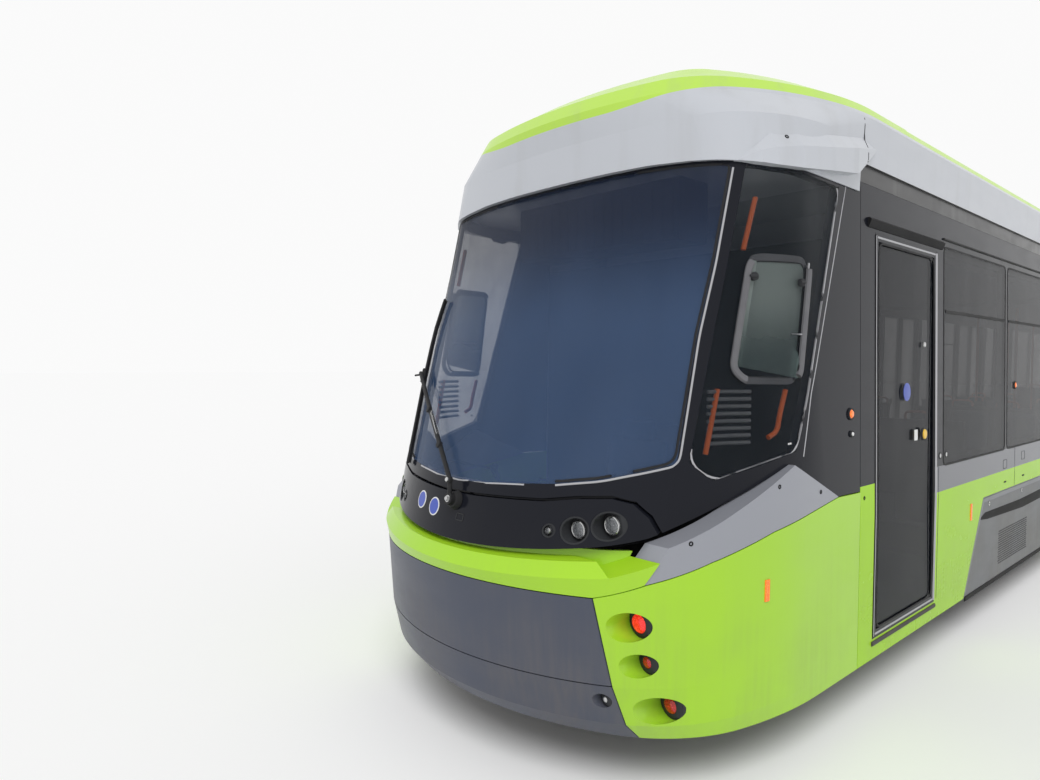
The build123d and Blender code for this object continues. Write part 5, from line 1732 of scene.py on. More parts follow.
@dataclass
class WiperTrim:
    """The wiper's housing, nuts, spring, washer pipe and rubber."""

    yard: Yard
    foot: Point = (-0.1123, 0.021, 1.253)
    slope: Point = (1.0, 0.0, 0.2727)
    arm: Path = (
        (-0.085, 0.002, 1.355), (-0.162, -0.189, 1.509), (-0.276, -0.441, 1.676), (-0.486, -0.836, 1.877),
    )
    blade: Path = (
        (-0.235, -0.600, 1.371), (-0.301, -0.655, 1.489), (-0.409, -0.742, 1.687), (-0.506, -0.822, 1.862),
        (-0.595, -0.878, 2.048), (-0.638, -0.890, 2.163), (-0.666, -0.875, 2.264), (-0.687, -0.860, 2.342),
    )
    collar: tuple[tuple[float, float], ...] = (
        (0.0315, 0.002), (0.048, 0.002), (0.046, 0.012), (0.038, 0.030), (0.0315, 0.034),
    )
    boss: tuple[tuple[float, float], ...] = ((0, 0), (0.019, 0), (0.019, 0.018), (0.015, 0.021), (0, 0.021))
    coil_radius: float = 0.012
    coil_turn: float = 1.6

    def build(self) -> None:
        """Makes the wiper's small parts at both ends."""
        skin = Skin("mask_front", "glazing_front")
        foot, out = cab([self.foot])[0], Vector(self.slope).normalized()
        housing = spun(foot, out, self.collar, 28)
        arm, blade = cab(self.arm), cab(self.blade)
        pipe = [point + Vector((0.006, 0.014, -0.017)) for point in arm]
        housing.join(tube(rounded(pipe, 0.08, closed=False), 0.004, 8))
        for point in arm[:3]:
            _, normal = skin.near(point)
            housing.join(spun(point - normal * 0.004, normal, self.boss, 16))
        rubber = [point - skin.near(point)[1] * 0.013 for point in blade]
        housing.join(tube(rubber, 0.0055, 6))
        joint = blade[3] + Vector((0.008, 0.0, 0.0))
        along = (blade[4] - blade[2]).normalized()
        housing.join(tube([joint - along * 0.045, joint, joint + along * 0.045], 0.015, 8))
        link = [joint, joint + Vector((0.02, -0.012, 0.005)), joint + Vector((0.03, -0.05, 0.0))]
        housing.join(tube(link, 0.006, 8))
        self.yard.ends(housing, "wiper_fittings", "black_rubber")
        nuts = bolt_head(0.012, 0.011)
        tip = foot + out * 0.058
        turn = out.to_track_quat("Z", "Y").to_matrix().to_4x4()
        bright = nuts.moved(Matrix.Translation(tip) @ turn)
        low = nuts.moved(Matrix.Translation(arm[0] + out * 0.012) @ turn)
        spring = []
        for t in range(12, 50):
            angle, radius = t * self.coil_turn, self.coil_radius
            around = Vector((radius * math.cos(angle), 0.0, radius * math.sin(angle) + 0.02))
            spring.append(arm[1].lerp(arm[2], t / 60) + around)
        self.yard.ends(bright.join(low, tube(spring, 0.0018, 5)), "wiper_nuts", "bright_steel")


@dataclass
class SaloonTrim:
    """Gaskets, door seals, buttons, markers, covers and grilles along the sides."""

    yard: Yard
    repeats: Repeats
    windows: dict[str, tuple[tuple[float, float], ...]] = field(default_factory=lambda: {
        "centre": ((-1.5, -0.03), (0.03, 1.5)),
        "second": ((2.49, 3.13), (4.72, 6.38), (7.97, 8.61)),
        "front": ((9.39, 10.22), (10.28, 11.60), (11.66, 13.08)),
    })
    leaves: dict[str, tuple[tuple[float, float], ...]] = field(default_factory=lambda: {
        "second": ((3.3, 3.9475), (3.9525, 4.6), (6.5, 7.1475), (7.1525, 7.8)),
        "front": ((13.215, 14.195),),
    })
    covers: dict[str, float] = field(default_factory=lambda: {"centre": 0.0, "front": BOGIE_X})
    window_z: tuple[float, float] = (1.275, 2.725)
    wide_window: float = 1.0
    bar_z: float = 2.30
    door_z: tuple[float, float] = (0.385, 2.68)
    door_waist: float = 1.1
    seal_inset: float = 0.052
    sill_z: float = 0.36
    rail_z: float = 2.775
    sill_spans: dict[str, tuple[tuple[float, float], ...]] = field(default_factory=lambda: {
        "front": ((13.20, 14.21),), "second": ((3.28, 4.62), (6.48, 7.82)),
    })
    rail_spans: dict[str, tuple[float, float]] = field(default_factory=lambda: {
        "front": (9.34, 13.10), "second": (2.44, 8.66), "centre": (-1.76, 1.76),
    })
    sill_profile: tuple[tuple[float, float], ...] = (
        (-0.012, 0), (-0.012, 0.006), (0.0, 0.010), (0.012, 0.006), (0.012, 0),
    )
    rail_profile: tuple[tuple[float, float], ...] = (
        (-0.007, 0), (-0.007, 0.006), (0.003, 0.010), (0.007, 0.004), (0.007, 0),
    )
    latch_profile: tuple[tuple[float, float], ...] = (
        (0, -0.001), (0.017, -0.001), (0.017, 0.003), (0.006, 0.0045), (0.006, 0.001), (0, 0.001),
    )
    hole_step: float = 0.021
    hole_columns: int = 40
    hole_rows: int = 15
    grille_z: float = 0.366
    cover_face: float = 1.242
    hole: float = 0.0062

    def build(self) -> None:
        """Makes the trim of every section."""
        for body, bays in self.windows.items():
            self.place(self.gaskets(bays), "window_gaskets", body, "black_rubber")
        for body, leaves in self.leaves.items():
            seals, bright = self.door_seals(leaves)
            self.place(seals, "door_seals", body, "black_rubber")
            self.place(bright, "door_edges", body, "silver_trim")
        for body, middle in self.covers.items():
            self.cover(body, middle)
        self.door_fittings()
        self.front_details()
        self.sill_strips()
        log.info("saloon trim: %d pieces", self.yard.count)

    def place(self, shape: Shape, stem: str, body: str, finish: str) -> None:
        """Places a left-hand shape with its mirror image on a section and on its twin.

        Args:
            shape: The left-hand shape.
            stem: The pieces' name without the body.
            body: The section.
            finish: The name of their finish.
        """
        self.yard.section(shape.both_sides(), stem, body, finish)

    @staticmethod
    def line(
        places: Sequence[tuple[float, float]], width: float, height: float, step: float = 0.5,
    ) -> Shape:
        """A flat strip laid on the wall.

        Args:
            places: Its ends and bends, along the tram and up.
            width: The strip's width.
            height: How far it stands out.
            step: The distance between its rings.

        Returns:
            The strip.
        """
        return strip(WALL, [WALL.at(x, z) for x, z in places], flat_profile(width, height), step=step)

    @staticmethod
    def button_ring(x: float, z: float) -> Shape:
        """The dark ring round a door button."""
        profile = [(0.030, -0.001), (0.041, -0.001), (0.041, 0.006), (0.034, 0.010), (0.030, 0.008)]
        return spun(*WALL.near((x, 0.0, z)), profile, 26)

    @staticmethod
    def frame_strip(
        x0: float, x1: float, z0: float, z1: float, width: float, height: float, radius: float,
    ) -> Shape:
        """A closed strip round a rectangle on the wall.

        Args:
            x0: The rectangle's rear edge.
            x1: Its front edge.
            z0: Its lower edge.
            z1: Its upper edge.
            width: The strip's width.
            height: How far it stands out.
            radius: The bend at the corners.

        Returns:
            The strip.
        """
        corners = [WALL.at(x0, z0), WALL.at(x1, z0), WALL.at(x1, z1), WALL.at(x0, z1)]
        return strip(WALL, rounded(corners, radius), flat_profile(width, height), closed=True, step=0.5)

    def gaskets(self, bays: Iterable[tuple[float, float]]) -> Shape:
        """Rubber round every window, and a bar across the wide ones under their opening light.

        Args:
            bays: The windows' ends along the wall.

        Returns:
            The rubber.
        """
        shape = Shape()
        for low, high in bays:
            shape.join(self.frame_strip(low, high, *self.window_z, 0.014, 0.0022, 0.05))
            if high - low > self.wide_window:
                shape.join(self.line(((low + 0.03, self.bar_z), (high - 0.03, self.bar_z)), 0.022, 0.003))
        return shape

    def door_seals(self, leaves: Iterable[tuple[float, float]]) -> tuple[Shape, Shape]:
        """Rubber edges of the leaves, bevelled pane gaskets and thin aluminium edge strips.

        Args:
            leaves: The leaves' ends along the wall.

        Returns:
            The rubber and the bright strips.
        """
        z0, z1 = self.door_z
        seals, bright = Shape(), Shape()
        for low, high in leaves:
            for x in (low + 0.008, high - 0.008):
                edge = ((x, z0 + 0.01), (x, self.door_waist), (x, z1 - 0.01))
                seals.join(self.line(edge, 0.015, 0.004, 0.6))
            gap = self.seal_inset
            seals.join(self.frame_strip(low + gap, high - gap, z0 + gap, z1 - gap, 0.012, 0.002, 0.06))
            for z in (z0 + 0.022, z1 - 0.022):
                bright.join(self.line(((low + 0.03, z), (high - 0.03, z)), 0.012, 0.0025))
        return seals, bright

    def disc(self, x: float, z: float, radius: float, rise: float, lift: float = 0.0) -> Shape:
        """A round button or plate on the wall.

        Args:
            x: The place along the wall.
            z: Its height.
            radius: The disc's radius.
            rise: How far it stands out.
            lift: How far its foot is moved out.

        Returns:
            The disc.
        """
        place, normal = WALL.near((x, 0.0, z))
        profile = [
            (0, -0.001), (radius, -0.001), (radius, rise * 0.6), (radius * 0.9, rise * 0.92), (0, rise),
        ]
        return spun(place + normal * lift, normal, profile, 26)

    def door_fittings(self) -> None:
        """The buttons, plates and plain discs beside the doors."""
        yellow, white, blue, chrome, dark = (Shape() for _ in range(5))
        yellow.join(self.disc(13.455, 1.507, 0.031, 0.012, 0.004))
        dark.join(self.button_ring(13.455, 1.507))
        white.join(strip(WALL, [WALL.at(13.574, 1.475), WALL.at(13.574, 1.541)], flat_profile(0.052, 0.0015)))
        blue.join(self.disc(13.723, 1.778, 0.055, 0.0016))
        chrome.join(self.disc(13.442, 2.071, 0.016, 0.008))
        lock_ring = [(0.014, -0.001), (0.022, -0.001), (0.022, 0.002), (0.014, 0.003)]
        for x in (13.144, 13.029):
            chrome.join(self.disc(x, 1.344, 0.015, 0.004))
            dark.join(spun(*WALL.near((x, 0.0, 1.344)), lock_ring, 20))
        for finish, shape, stem in (
            ("button_yellow", yellow, "door_button"), ("disc_white", white, "door_plate"),
            ("disc_blue", blue, "door_disc"), ("bright_steel", chrome, "door_rounds"),
            ("cab_plastic", dark, "door_rings"),
        ):
            self.place(shape, stem, "front", finish)
        second, ring = Shape(), Shape()
        for middle in (3.95, 7.15):
            second.join(self.disc(middle + 0.16, 1.42, 0.031, 0.012, 0.004))
            ring.join(self.button_ring(middle + 0.16, 1.42))
        self.place(second, "door_button", "second", "button_yellow")
        self.place(ring, "door_rings", "second", "cab_plastic")

    def front_details(self) -> None:
        """The front section's marker, flap outlines, slots drawn as dark strips of painted shade, seams and
        the door's edge lines.
        """
        amber = self.line(((12.48, 0.820), (12.48, 0.940)), 0.030, 0.006, 0.03)
        self.place(amber, "wall_marker", "front", "lamp_amber")
        dark = Shape()
        for x, z in ((11.645, 1.154), (11.113, 1.183)):
            dark.join(self.frame_strip(x - 0.05, x + 0.05, z - 0.034, z + 0.034, 0.004, 0.0012, 0.012))
        # painted shade: flat dark strips under the flaps stand in for the shade inside their slots
        for x in (11.635, 11.101):
            dark.join(self.line(((x - 0.032, 1.0105), (x + 0.032, 1.0105)), 0.013, 0.0012, 0.02))
        for x, low, high in ((11.365, 0.955, 1.272), (13.17, 0.40, 1.272), (9.36, 0.30, 1.272)):
            dark.join(self.line(((x, low), (x, high)), 0.005, 0.0010, 0.1))
        self.place(dark, "wall_seams", "front", "black_matt")
        light = Shape()
        for x, width in ((14.188, 0.007), (13.226, 0.024)):
            light.join(self.line(((x, 0.40), (x, self.door_waist), (x, 2.665)), width, 0.0055, 0.6))
        self.place(light, "door_lines", "front", "silver_trim")

    def sill_strips(self) -> None:
        """A step edge under every door and a drip rail over the windows."""
        for body, spans in self.sill_spans.items():
            shape = Shape()
            for ends in spans:
                path = [WALL.at(x, self.sill_z, -0.002) for x in ends]
                shape.join(strip(WALL, path, self.sill_profile, step=0.4))
            self.place(shape, "step_edges", body, "frame_steel")
        for body, ends in self.rail_spans.items():
            path = [WALL.at(x, self.rail_z, -0.001) for x in ends]
            shape = strip(WALL, path, self.rail_profile, step=0.5)
            self.place(shape, "drip_rails", body, "black_rubber")

    def on_cover(self, x: float, z: float, out: float = 0.0) -> Vector:
        """A point on the left cover's face."""
        return Vector((x, self.cover_face + out, z))

    def cover(self, body: str, middle: float) -> None:
        """One bogie cover: its lighter frame, a dark slot drawn as a thin black sheet of painted shade, a
        perforated grille whose holes are black dots of painted shade, lower rubber and latches.

        Args:
            body: The section.
            middle: The middle of its bogie.
        """
        face = SideWall(half=self.cover_face, lean=0.0)
        outline = [
            self.on_cover(middle + x, z)
            for x, z in ((-1.452, 0.300), (-1.062, 0.920), (1.062, 0.920), (1.452, 0.300))
        ]
        band = strip(face, outline, flat_profile(0.034, 0.0028), step=0.3)
        self.place(band, "cover_band", body, "cover_band")
        # painted shade: the slot is a thin black sheet on the cover's face in place of the shade inside its
        # opening
        upper = ((1.157, 0.788), (1.013, 0.825), (0.038, 0.809), (-0.629, 0.819))
        lower = ((0.958, 0.768), (-0.033, 0.731), (-0.639, 0.739))
        points = [self.on_cover(middle + x, z) for x, z in (*upper, *reversed(lower))]
        slot = Shape().rings([points, [p + Vector((0, 0.0014, 0)) for p in points]])
        skirt = [(0.0, -0.002), (0.0, 0.005), (0.030, 0.006), (0.038, -0.002)]
        foot = [self.on_cover(middle - 1.45, 0.272), self.on_cover(middle + 1.45, 0.272)]
        slot.join(strip(face, foot, skirt, step=0.5))
        self.place(slot, "cover_slot", body, "black_matt")
        # painted shade: the grille's holes are flat black dots in place of the shade inside them
        dot_profile = [(0, 0), (self.hole, 0), (self.hole, 0.0016), (0, 0.0016)]
        dot = spun(Vector((0, -0.001, 0)), LEFT, dot_profile, 8)
        step = self.hole_step
        bodies = (("front", 1.0), ("rear", -1.0)) if body == "front" else ((body, 1.0),)
        for name, sign in bodies:
            for side, flip in (("left", 1.0), ("right", -1.0)):
                item = dot if flip * sign > 0 else dot.moved(MIRROR)
                start = (sign * (middle - 0.19), sign * flip * self.cover_face, self.grille_z)
                if body == "centre":
                    start = (middle - 0.42, flip * self.cover_face, self.grille_z)
                self.repeats.grid(
                    f"grille_{side}_{name}", name, "black_matt", item, start,
                    (sign * step, 0.0, 0.0), self.hole_columns,
                    (0.0, 0.0, step * 0.87), self.hole_rows, (sign * step / 2, 0.0, 0.0),
                )
        latches = Shape()
        for x in (-0.92, 0.0, 0.92):
            place = self.on_cover(middle + x, 0.882)
            latches.join(spun(place, LEFT, self.latch_profile, 16))
        self.place(latches, "cover_latches", body, "bright_steel")


@dataclass
class RoofTrim:
    """Ribs, louvres, lifting eyes, bolts and clamped conduits on the roof."""

    yard: Yard
    repeats: Repeats
    pan: float = 3.06
    cases: dict[str, tuple[tuple[float, float, float, float], ...]] = field(default_factory=lambda: {
        "centre": ((-1.5, -0.7, 0.80, 3.29),),
        "second": ((2.6, 4.3, 0.85, 3.33), (4.7, 6.3, 0.90, 3.36), (6.7, 8.4, 0.85, 3.33)),
        "front": ((9.5, 11.3, 0.90, 3.37), (11.6, 13.0, 0.85, 3.33)),
    })
    rib_step: float = 0.28
    louvre_step: float = 0.075
    louvre: tuple[tuple[float, float], ...] = (
        (-0.026, -0.001), (-0.020, 0.011), (0.020, 0.003), (0.026, -0.001),
    )
    bolt_rise: float = 0.03

    def build(self) -> None:
        """Dresses every roof case."""
        for body, cases in self.cases.items():
            shape, dark, bolts = Shape(), Shape(), []
            for low, high, half, top in cases:
                shape.join(self.lid(low, high, half, top))
                dark.join(self.grilles(low, high, half, top))
                bolts += [
                    (Vector((x, side * half, self.pan + self.bolt_rise)), Vector((0, side, 0)))
                    for side in (-1.0, 1.0) for x in (low + 0.1, (low + high) / 2, high - 0.1)
                ]
                corners = [(x, y) for x in (low + 0.14, high - 0.14) for y in (-half + 0.16, half - 0.16)]
                shape.join(*(self.eye(x, y, top) for x, y in corners))
            dark.join(self.conduits(cases[0][0], cases[-1][1]))
            self.yard.section(shape, "case_lids", body, "roof_case")
            self.yard.section(dark, "case_grilles", body, "black_rubber")
            for name, turn in zip(TWINS.get(body, (body,)), (Matrix(), TURN)):
                places = [(turn @ place, turn @ aim) for place, aim in bolts]
                self.repeats.on_points(
                    f"case_bolts_{name}", name, "bright_steel", bolt_head(0.012, 0.009), places,
                )

    def lid(self, low: float, high: float, half: float, top: float) -> Shape:
        """Pressed ribs across a case's top.

        Args:
            low: The case's rear end.
            high: Its front end.
            half: Half its width.
            top: The height of its top.

        Returns:
            The ribs.
        """
        shape = Shape()
        count = max(3, round((high - low) / self.rib_step))
        for i in range(count):
            x = low + (high - low) * (i + 0.5) / count
            foot, crest = (x - 0.035, -half + 0.11, top - 0.003), (x + 0.035, half - 0.11, top + 0.012)
            shape.join(slab(foot, crest, 0.010))
        return shape

    def grilles(self, low: float, high: float, half: float, top: float) -> Shape:
        """Slanted louvres along both sides of a case.

        Args:
            low: The case's rear end.
            high: Its front end.
            half: Half its width.
            top: The height of its top.

        Returns:
            The louvres.
        """
        shape = Shape()
        count = int((high - low - 0.3) / self.louvre_step)
        z0, z1 = self.pan + 0.06, top - 0.10
        for i in range(count):
            x = low + 0.15 + (i + 0.5) * self.louvre_step
            for side in (-1.0, 1.0):
                foot, head = Vector((x, side * half, z0)), Vector((x, side * half, z1))
                ring = [Vector((dx, out * side, 0)) for dx, out in self.louvre]
                shape.join(Shape().rings([[foot + p for p in ring], [head + p for p in ring]]))
        return shape

    @staticmethod
    def eye(x: float, y: float, top: float) -> Shape:
        """A lifting eye of bent round bar.

        Args:
            x: Its place along the tram.
            y: Its place across.
            top: The height of the case's top.

        Returns:
            The eye.
        """
        bends = ((-0.035, -0.002), (-0.035, 0.03), (0.035, 0.03), (0.035, -0.002))
        path = [Vector((x + dx, y, top + dz)) for dx, dz in bends]
        return tube(rounded(path, 0.028, closed=False, cuts=4), 0.008, 8)

    def conduits(self, low: float, high: float) -> Shape:
        """Rigid conduits along the roof's trough, with clamps.

        Args:
            low: The rear end.
            high: The front end.

        Returns:
            The conduits with their clamps.
        """
        shape = Shape()
        for y in (-0.98, 0.98, 1.03):
            path = [
                Vector((x, y + 0.006 * math.sin(x * 5.0), self.pan + 0.022))
                for x in frange(low - 0.1, high + 0.1, 0.12)
            ]
            shape.join(tube(path, 0.019, 8))
        for x in frange(low, high, 0.6):
            for y in (-0.98, 1.005):
                shape.join(slab((x - 0.02, y - 0.07, self.pan), (x + 0.02, y + 0.07, self.pan + 0.05), 0.012))
        return shape


@dataclass
class PantographTrim:
    """Carbon strips, springs, insulator sheds, a bonding pipe and bushes of the folded pantograph."""

    yard: Yard
    repeats: Repeats
    pivot: tuple[float, float] = (0.65, 3.29)
    insulators: tuple[tuple[float, float], ...] = ((-0.4, -0.42), (-0.4, 0.42), (0.8, -0.42), (0.8, 0.42))
    shed_z: tuple[float, ...] = (3.073, 3.098, 3.123)
    spring_z: float = 3.245
    coil_radius: float = 0.028
    bush: tuple[tuple[float, float], ...] = (
        (0.026, 0), (0.043, 0), (0.043, 0.008), (0.034, 0.012), (0.026, 0.012),
    )
    carbon: tuple[tuple[float, float], ...] = (
        (-0.0215, -0.012), (0.0215, -0.012), (0.0205, 0.0004), (-0.0205, 0.0004),
    )
    carbon_half: float = 0.54
    folded: float = math.radians(5)
    bands_at: tuple[float, ...] = (0.10, 0.62, 1.14)

    def build(self) -> None:
        """Makes the small parts on the centre section and on the pantograph's head and lower arm."""
        sheds = [(Vector((x, y, z)), UP) for x, y in self.insulators for z in self.shed_z]
        shed = spun(
            Vector(), UP, [(0.043, 0.0), (0.064, 0.002), (0.066, 0.007), (0.052, 0.013), (0.043, 0.018)], 20,
        )
        self.repeats.on_points("insulator_sheds", "centre", "insulator", shed, sheds)
        px, pz = self.pivot
        base = Shape()
        wide, height, turns = self.coil_radius, self.spring_z, 90
        for y in (-0.2, 0.2):
            coil = [
                Vector((
                    px - 0.06 - 0.5 * t / turns,
                    y + wide * math.cos(t * 0.9),
                    height + wide * math.sin(t * 0.9),
                ))
                for t in range(turns + 1)
            ]
            base.join(tube(coil, 0.005, 6))
            base.join(tube([Vector((px - dx, y, height)) for dx in (0.04, 0.30, 0.62)], 0.009, 8))
        for side in (-1.0, 1.0):
            place = Vector((px, side * 0.33 + side * 0.014, pz))
            base.join(spun(place, Vector((0, side, 0)), self.bush, 22))
        self.yard.piece(base, "panto_springs", "centre", "panto_steel")
        head_lo, head_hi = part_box("panto_head")
        strips = Shape()
        for x in (head_lo[0] + 0.03, head_hi[0] - 0.03):
            rings = [
                [Vector((x + dx, y, head_hi[2] + dz)) for dx, dz in self.carbon]
                for y in frange(-self.carbon_half, self.carbon_half, 0.09)
            ]
            strips.join(Shape().rings(rings))
        self.yard.piece(strips, "carbon_strips", "panto_head", "carbon_strip")
        sine, cosine = math.sin(self.folded), math.cos(self.folded)
        pipe = [
            Vector((px - 0.1 * t, 0.075 + 0.01 * math.sin(t * 1.3), pz + 0.1 * t * sine / cosine - 0.02))
            for t in range(1, 12)
        ]
        lower = tube(pipe, 0.008, 8)
        band = [(0.037, 0), (0.047, 0), (0.047, 0.02), (0.037, 0.02)]
        for t in self.bands_at:
            place = Vector((px - t * cosine, 0, pz + t * sine))
            lower.join(spun(place, Vector((-cosine, 0, sine)), band, 20))
        self.yard.piece(lower, "panto_lower_bands", "panto_lower", "panto_steel")


@dataclass
class Bellows:
    """Pleated rubber sleeves between the sections."""

    yard: Yard
    repeats: Repeats
    joints: tuple[tuple[str, float, str, str], ...] = (
        ("bellows_1", 9.0, "second", "front"), ("bellows_2", 2.1, "centre", "second"),
        ("bellows_3", -2.1, "centre", "fourth"), ("bellows_4", -9.0, "fourth", "rear"),
    )
    reach: float = 0.2997
    half: float = 1.195
    inner: float = 1.080
    low: float = 0.215
    high: float = 2.890
    pleats: int = 17
    cuts: int = 6
    depth: float = 0.030

    def loop(self, half: float, low: float, high: float, radius: float) -> list[tuple[float, float]]:
        """Even points round a rounded rectangle in front view.

        Args:
            half: Half the width.
            low: The lower edge.
            high: The upper edge.
            radius: The bend at the corners.

        Returns:
            The points, across and up.
        """
        path: list[Vector] = []
        corners = (
            (half - radius, high - radius, 0), (-half + radius, high - radius, 90),
            (-half + radius, low + radius, 180), (half - radius, low + radius, 270),
        )
        for cy, cz, start in corners:
            for k in range(7):
                a = math.radians(start + 15 * k)
                path.append(Vector((0, cy + radius * math.cos(a), cz + radius * math.sin(a))))
        return [(p.y, p.z) for p in path]

    def build(self) -> None:
        """Makes the four sleeves."""
        for node, x, first, second in self.joints:
            rings: list[list[Vector]] = []
            outer = self.loop(self.half, self.low, self.high, 0.06)
            hole = self.loop(self.inner, self.low + 0.115, self.high - 0.042, 0.04)
            count = self.pleats * self.cuts
            for ring, order in ((outer, range(count + 1)), (hole, range(count, -1, -1))):
                rings += [
                    [Vector((x - self.reach + 2 * self.reach * i / count, y, z)) for y, z in ring]
                    for i in order
                ]
            sleeve = Shape().rings(rings, closed=True).mesh(node + "_sleeve", 60.0)
            for face in sleeve.polygons:
                face.use_smooth = True
            mesh = self.repeats.run(self.repeats.pleats, sleeve, {
                "Start": x - self.reach, "Length": 2 * self.reach, "Pleats": self.pleats, "Depth": self.depth,
                "Material": self.yard.palette["bellows_rubber"],
            }, node + "_pleats")
            piece = self.yard.place(mesh, node + "_pleats", None, "bellows_rubber")
            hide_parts(node)
            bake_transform(piece)
            self.clamps(node, x, first, second)

    def clamps(self, node: str, x: float, first: str, second: str) -> None:
        """Thin clamping frames where the sleeve meets the sections, one on each body.

        Args:
            node: The bellows.
            x: Its middle along the tram.
            first: The joint's parent body.
            second: The joint's child body.
        """
        first_sign = -1.0 if first_is_low(first, x) else 1.0
        for body, sign in ((first, first_sign), (second, -first_sign)):
            edge = x + sign * (self.reach + 0.0028)
            outer = self.loop(self.half + 0.012, self.low + 0.02, self.high + 0.012, 0.07)
            inner = self.loop(self.half - 0.012, self.low + 0.035, self.high - 0.012, 0.05)
            near, far = edge - sign * 0.0025, edge + sign * 0.02
            loops = ((near, inner), (near, outer), (far, outer), (far, inner))
            rings = [[Vector((place, y, z)) for y, z in loop] for place, loop in loops]
            self.yard.piece(Shape().rings(rings, closed=True), f"{node}_clamp_{body}", body, "black_matt")


def first_is_low(first: str, x: float) -> bool:
    """Whether the first body of a joint lies on the low side of its x."""
    middle = {"centre": 0.0, "second": 5.5, "fourth": -5.5}[first]
    return middle < x


@dataclass
class BogieTrim:
    """Axle box covers, bolts and brake pipes on the bogies."""

    yard: Yard
    repeats: Repeats
    bogies: dict[str, float] = field(
        default_factory=lambda: {"front": BOGIE_X, "centre": 0.0, "rear": -BOGIE_X},
    )
    half_base: float = 0.925
    axle: float = 0.325
    frame_y: float = 1.01
    cover: tuple[tuple[float, float], ...] = (
        (0.074, 0.0), (0.128, 0.0), (0.128, 0.012), (0.112, 0.018), (0.074, 0.018),
    )
    bolt_circle: float = 0.120
    bolt_angles: tuple[float, ...] = (0.5, 1.55, 2.6, 3.65, 4.7, 5.75)
    frame_bolts: tuple[float, ...] = (-0.40, -0.2, 0.0, 0.2, 0.40)
    frame_bolts_z: float = 0.26
    pipe: Path = ((0.12, 0.90, 0.36), (0.20, 0.86, 0.30), (0.30, 0.87, 0.28), (0.36, 0.89, 0.31))

    def build(self) -> None:
        """Dresses the three bogies."""
        for body, x in self.bogies.items():
            iron, bolts = Shape(), []
            for axle in (x - self.half_base, x + self.half_base):
                for side in (-1.0, 1.0):
                    out = Vector((0, side, 0))
                    place = Vector((axle, side * self.frame_y, self.axle))
                    iron.join(spun(place, out, self.cover, 28))
                    for angle in self.bolt_angles:
                        across, up = self.bolt_circle * math.cos(angle), self.bolt_circle * math.sin(angle)
                        bolts.append((place + Vector((across, side * 0.011, up)), out))
                    pipe = [Vector((axle + dx, side * y, z)) for dx, y, z in self.pipe]
                    iron.join(tube(rounded(pipe, 0.05, closed=False), 0.011, 8))
            for side in (-1.0, 1.0):
                for dx in self.frame_bolts:
                    place = Vector((x + dx, side * self.frame_y, self.frame_bolts_z))
                    bolts.append((place, Vector((0, side, 0))))
            self.yard.piece(iron, f"bogie_covers_{body}", body, "bogie_iron")
            self.repeats.on_points(f"bogie_bolts_{body}", body, "wheel_steel", bolt_head(0.011, 0.010), bolts)


